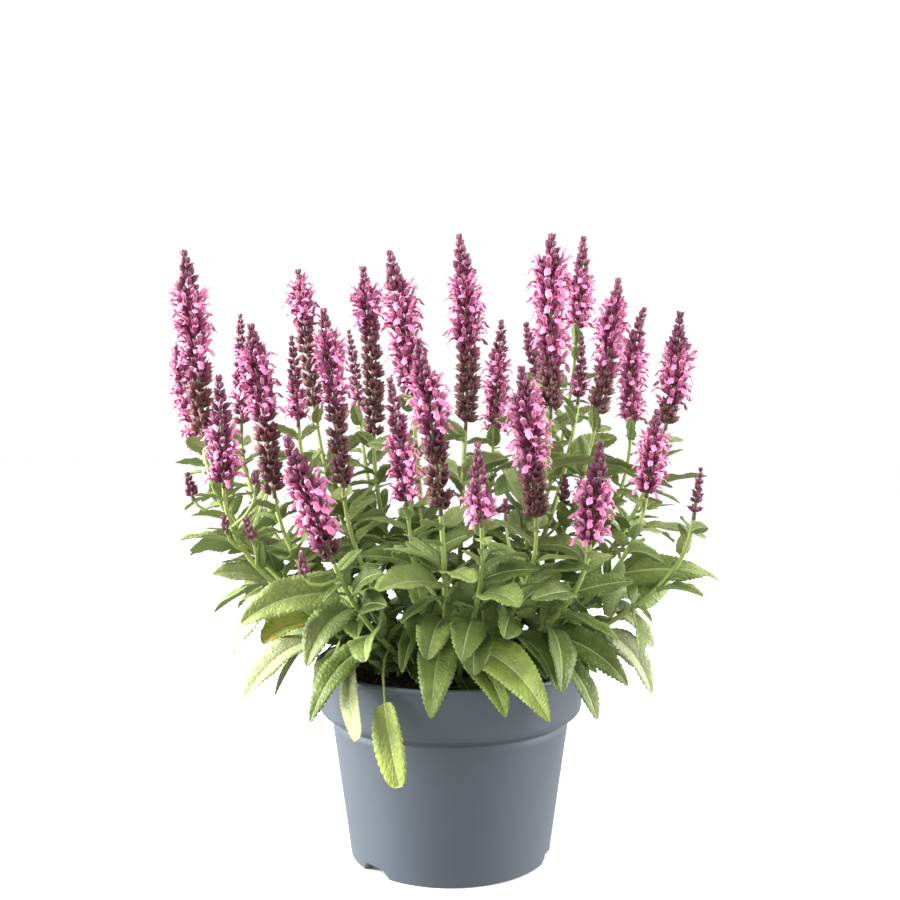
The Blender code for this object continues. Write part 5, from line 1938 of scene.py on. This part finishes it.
@dataclass
class FlowerSpike:
    """A spike of whorls of six flowers: buds at its tip, open flowers below them, faded ones under those."""

    shoot: Shoot
    number: int
    whorl: int = 6
    first: float = 5.0
    top_size: float = 0.74
    gap: float = 4.3
    gap_growth: float = 0.045
    widest_gap: float = 7.0
    cyme: float = 52.0
    core_radii: Span = (0.5, 1.5)
    full_size: float = 26.0
    elevations: Span = (84.0, 44.0)
    stand_off: float = 2.2
    stray: float = 10.0
    loose: float = 1.9
    nod: float = 14.0
    size_variety: Span = (0.86, 1.10)
    bloom_stray: float = 5.0
    bud_seen: float = 0.35
    fade: float = 0.14
    faded: float = 0.9
    open_chance: float = 0.95
    opening_share: float = 0.22
    petal_lift: float = 6.5
    petal_size: float = 0.94
    petal_reach: float = 9.8
    mouth: float = 5.4
    roll: float = 0.35
    lowered: Span = (6.0, 40.0)
    room: Array = field(default_factory=lambda: np.array((3 * (-NO_LIMIT,), 3 * (NO_LIMIT,))))

    def __post_init__(self) -> None:
        """Work out the axis by its length, and the whorls' distances from the tip."""
        self.axis = self.shoot.axis(np.linspace(0.0, 1.0, 80))[::-1]
        self.run = lengths(self.axis)
        self.length = float(self.run[-1])
        stations = []
        at = self.first
        while at < self.length - 2.0:
            stations.append(at)
            at += min(self.widest_gap, self.gap + self.gap_growth * at) * (0.7 + 0.3 * self.shoot.girth)
        self.stations = np.array(stations)

    def at(self, distance: Array) -> tuple[Array, Array]:
        """Give the points of the axis and its upward directions at distances from the tip."""
        points, lower, upper = (on_line(distance + step, self.run, self.axis) for step in (0.0, 4.0, -4.0))
        return points, unit(upper - lower)

    def core(self) -> Surface:
        """Make the stalk inside the spike, a tube that thins towards the tip.

        Returns:
            A closed tube.
        """
        distance = np.linspace(self.length, self.first, 24)
        points, ahead = self.at(distance)
        radius = np.interp(distance, (0.0, self.length), self.core_radii)[:, None]
        return tube(points, ahead, radius, around(8), (distance[:, None], 0.5, 0.8))

    def flowers(self, draw: np.random.Generator) -> Flowers:
        """Work out every flower: six to a whorl, in two groups of three that turn by a quarter each tier.

        Args:
            draw: The source of the spike's variety.

        Returns:
            The flowers, whorl after whorl from the tip.
        """
        distance = np.repeat(self.stations, self.whorl)
        count = len(distance)
        tier = np.repeat(np.arange(len(self.stations)), self.whorl)
        place = np.tile(np.arange(self.whorl), len(self.stations))
        azimuth = 90.0 * tier + 180.0 * (place // 3) + self.cyme * (place % 3 - 1)
        azimuth = np.radians(azimuth + draw.uniform(-self.stray, self.stray, count))
        grown = np.clip(distance / self.full_size, 0.0, 1.0)
        rise = self.elevations[0] + (self.elevations[1] - self.elevations[0]) * grown
        points, ahead = self.at(distance + draw.uniform(-self.loose, self.loose, count) * grown)
        out = spun(azimuth, *across_frame(ahead))
        share = 1.0 - distance / self.length
        low, high = self.shoot.bloom
        lift = self.petal_lift + draw.uniform(-self.bloom_stray, self.bloom_stray, count)
        seen = share + lift / self.length
        flowering = (seen > low) & (seen < high) & (high > low)
        flowering &= draw.random(count) < self.open_chance
        bud = smooth(seen, high - 0.04, min(high + 0.20, 0.98))
        state = np.where(bud > self.bud_seen, Bloom.BUD.value, Bloom.CLOSED.value)
        opening = (draw.random(count) < self.opening_share) | (seen > high - 0.04)
        state = np.where(flowering, np.where(opening, Bloom.OPENING.value, Bloom.OPEN.value), state)
        return Flowers(
            place=points + out * (self.stand_off * self.shoot.girth * (0.15 + 0.85 * grown))[:, None],
            out=out,
            ahead=ahead,
            rise=np.radians(rise + draw.uniform(-self.nod, self.nod, count)),
            size=self.shoot.girth * (0.60 + 0.46 * grown) * draw.uniform(*self.size_variety, count),
            bud=bud,
            age=np.clip((low - seen) / self.fade, 0.0, 1.0) * self.faded * (low > 0.0),
            state=state,
            chance=draw.random(count),
            other=draw.random(count),
        )

    def calyces(self, found: Flowers) -> Surface:
        """Make the open calyces, the closed buds and the bracts under them.

        Args:
            found: The spike's flowers.

        Returns:
            All of them in one surface.
        """
        forms = FlowerParts()
        is_bud = found.state == Bloom.BUD.value
        parts = []
        for form, chosen in ((forms.calyx(), found.chosen(~is_bud)), (forms.bud(), found.chosen(is_bud))):
            if len(chosen.size):
                parts.append(form.copies(chosen.frames(), chosen.place, chosen.size, chosen.tint()))
        held = found.chosen(np.arange(len(found.size)) % 3 == 1)
        frames = held.frames(0.15)
        under = held.place - 1.2 * held.size[:, None] * frames[:, 2]
        parts.append(forms.bract().copies(frames, under, held.size, held.tint()))
        top, ahead = self.at(np.array((self.first,)))
        side, other = across_frame(ahead)
        shade = {"tint": found.tint()["tint"][:1]}
        size = np.array((self.top_size * self.shoot.girth,))
        parts.append(forms.bud().copies(np.stack([ahead, side, other], axis=1), top, size, shade))
        return Surface.joined(parts)

    def dress(self, calyx: Material, petal: Material, stalk: Material) -> None:
        """Build the calyces and bracts, the open flowers and the core in place of the plain spike.

        Args:
            calyx: The calyces' finish.
            petal: The petals' finish.
            stalk: The core's finish.
        """
        draw = np.random.default_rng((SEED, 100 + self.number))
        found = self.flowers(draw)
        name = self.shoot.name
        self.calyces(found).piece(f"calyces_{name}", calyx, Slot.FLOWERS, f"spike_{name}")
        self.core().piece(f"core_{name}", stalk, Slot.FLOWERS)
        lowered = np.radians(draw.uniform(*self.lowered, len(found.size)))
        roll = draw.uniform(-self.roll, self.roll, len(found.size))[:, None]
        parts = []
        for state, openness in ((Bloom.OPENING, 0.15), (Bloom.OPEN, 1.0)):
            mask = found.state == state.value
            if not mask.any():
                continue
            chosen = found.chosen(mask)
            mouth = chosen.place + self.mouth * chosen.size[:, None] * chosen.frames()[:, 0]
            frames = chosen.frames(lowered[mask])
            frames[:, 1], frames[:, 2] = rotated(frames[:, 1], frames[:, 2], roll[mask])
            shade = np.stack([chosen.chance, chosen.other, chosen.age], axis=-1)
            size = self.petal_size * chosen.size
            step = self.petal_reach * size[:, None] * frames[:, 0]
            spare = (np.where(step < 0.0, self.room[0], self.room[1]) - mouth) / step
            size = size * np.clip(spare.min(axis=1), 0.5, 1.0)
            parts.append(FlowerParts().corolla(openness).copies(frames, mouth, size, {"tint": shade}))
        if parts:
            petals = Surface.joined(parts)
            petals.points = np.clip(petals.points, *self.room)
            petals.piece(f"petals_{name}", petal, Slot.FLOWERS)


@dataclass
class BudHead:
    """The small bud head at the end of a side shoot: a short spike of closed buds."""

    shoot: SideShoot
    number: int
    girth: float = 0.66
    gap: float = 3.4
    full_size: float = 18.0

    def dress(self, calyx: Material, stalk: Material) -> None:
        """Build the head as a spike that has not bloomed.

        Args:
            calyx: The buds' finish.
            stalk: The core's finish.
        """
        head, tip = self.shoot.line[-1], self.shoot.tip
        foot = head - 2.0 * unit(tip - head)
        plain = Shoot(f"side_{self.number}", foot, 0.5 * (foot + tip), tip, (0.0, 0.0), self.girth)
        spike = FlowerSpike(plain, self.number, gap=self.gap, full_size=self.full_size)
        found = spike.flowers(np.random.default_rng((SEED, 200 + self.number)))
        spike.calyces(found).piece(f"buds_{self.number}", calyx, Slot.FLOWERS)
        spike.core().piece(f"bud_core_{self.number}", stalk, Slot.FLOWERS)


@dataclass
class Studio:
    """A pale floor, soft light from both sides and all round, and the camera at the photograph's angle."""

    camera_place: Point = (-0.0003, -0.801, 0.3154)
    camera_pitch: float = 2.25
    focal_pixels: float = 1137.7
    picture_pixels: float = 900.0
    sensor: float = 36.0
    floor_half: float = 6.0
    floor_colour: Colour = (0.93, 0.93, 0.93)
    floor_spot: Colour = (0.91, 0.91, 0.91)
    front: float = 0.48
    back: float = 1.06
    top: float = 1.25
    horizon: float = 1.02
    ground: float = 0.60
    softboxes: tuple[tuple[str, Point, Span, float], ...] = (
        ("left box", (-1.30, -0.08, 0.62), (1.0, 1.2), 80.0),
        ("right box", (1.35, 0.00, 0.60), (1.0, 1.2), 38.0),
    )
    aim: Point = (0.0, 0.0, 0.22)

    def floor(self) -> None:
        """Lay the floor, which isn't part of the plant, and leave the light from below to the world."""
        half = self.floor_half
        corners = ((-half, -half, 0.0), (half, -half, 0.0), (half, half, 0.0), (-half, half, 0.0))
        mesh = bpy.data.meshes.new("floor")
        mesh.from_pydata(corners, [], [(0, 1, 2, 3)])
        shade = Shader("pale floor", 1.0, Specular_IOR_Level=0.0)
        cloud = shade.noise(shade.place(), 3.0, 2.0)
        shade.colour(shade.mix(shade.times(cloud, 0.3), self.floor_colour, self.floor_spot))
        mesh.materials.append(shade.material)
        floor = in_scene("floor", mesh)
        floor.visible_diffuse = floor.visible_glossy = False
        floor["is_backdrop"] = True

    def surroundings(self) -> None:
        """Set the light from all round by its direction: dimmer in front, like the floor at the horizon."""
        world = bpy.data.worlds.new("studio")
        world.use_nodes = True
        graph = Graph(world.node_tree)
        _, y, z = graph.split(graph.add("ShaderNodeTexCoord", {}).outputs["Generated"])
        round_about = graph.between(y, -0.7, 0.7, self.front, self.back)
        upper = graph.between(z, 0.3, 0.9)
        sides = graph.times(graph.scaled(upper, -1.0, 1.0), round_about)
        tone = graph.math("ADD", graph.times(upper, self.top), sides)
        raised = graph.between(z, 0.0, 0.25)
        ground = graph.between(z, -0.45, -0.08, self.ground, self.horizon)
        low = graph.times(graph.scaled(raised, -1.0, 1.0), ground)
        background = world.node_tree.nodes["Background"]
        graph.feed(background.inputs["Strength"], graph.math("ADD", graph.times(raised, tone), low))
        graph.feed(background.inputs["Color"], (1.0, 1.0, 1.0))
        bpy.context.scene.world = world

    def light(self) -> None:
        """Hang the softboxes, each turned to the plant."""
        for name, place, size, power in self.softboxes:
            lamp = bpy.data.lights.new(name, "AREA")
            lamp.shape = "RECTANGLE"
            lamp.size, lamp.size_y = size
            lamp.energy = power
            thing = in_scene(name, lamp)
            thing.location = place
            x, y, z = np.array(self.aim) - np.array(place)
            thing.rotation_euler = (math.atan2(math.hypot(x, y), -z), 0.0, math.atan2(y, x) - QUARTER)

    def camera(self) -> None:
        """Set the camera, level but for its small pitch, and colours without a film curve."""
        lens = bpy.data.cameras.new("camera")
        lens.sensor_width = self.sensor
        lens.lens = self.focal_pixels / self.picture_pixels * self.sensor
        thing = in_scene("camera", lens)
        thing.location = self.camera_place
        thing.rotation_euler = (math.radians(90.0 - self.camera_pitch), 0.0, 0.0)
        bpy.context.scene.camera = thing
        bpy.context.scene.view_settings.view_transform = "Standard"


def box_lists(bounds: Sequence[Iterable[float]]) -> list[list[float]]:
    """Turn a box's corners into plain lists."""
    return [[float(value) for value in corner] for corner in bounds]


def main() -> None:
    """Load the frame, dress every solid, keeping leaves and petals inside the frame's box, and light the
    scene.
    """
    logging.basicConfig(level=logging.INFO, format="%(name)s: %(message)s")
    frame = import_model()
    solids_box = box_lists(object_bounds())
    room = np.array(solids_box) / MM
    LOG.info("frame: %d solids", len(frame["nodes"]))
    studio = Studio()
    studio.camera()
    pot = Pot()
    layout = Layout()
    layout.grow(pot)
    tufts = layout.tufts()
    layout.growths = [layout.draw_in(growth) for growth in layout.growths]
    LOG.info("layout: %d growths and %d tuft leaves", len(layout.growths), len(tufts))
    pot.dress()
    Compost(pot).dress()
    leaf, stalk = LeafFinish().material(), StalkFinish().material()
    calyx, petal = CalyxFinish().material(), PetalFinish().material()
    for number, stem in enumerate(layout.stems):
        own = [growth for growth in layout.growths if growth.owner == number]
        own_tufts = [small for small in tufts if small.owner == number]
        LeafyStem(stem, own, own_tufts, number, room=room).dress(leaf, stalk)
        FlowerSpike(stem.shoot, number, room=room).dress(calyx, petal, stalk)
    side_shoots = [growth for growth in layout.growths if isinstance(growth, SideShoot)]
    for number, shoot in enumerate(side_shoots):
        BudHead(shoot, number).dress(calyx, stalk)
    studio.floor()
    studio.surroundings()
    studio.light()


if __name__ == "__main__":
    main()
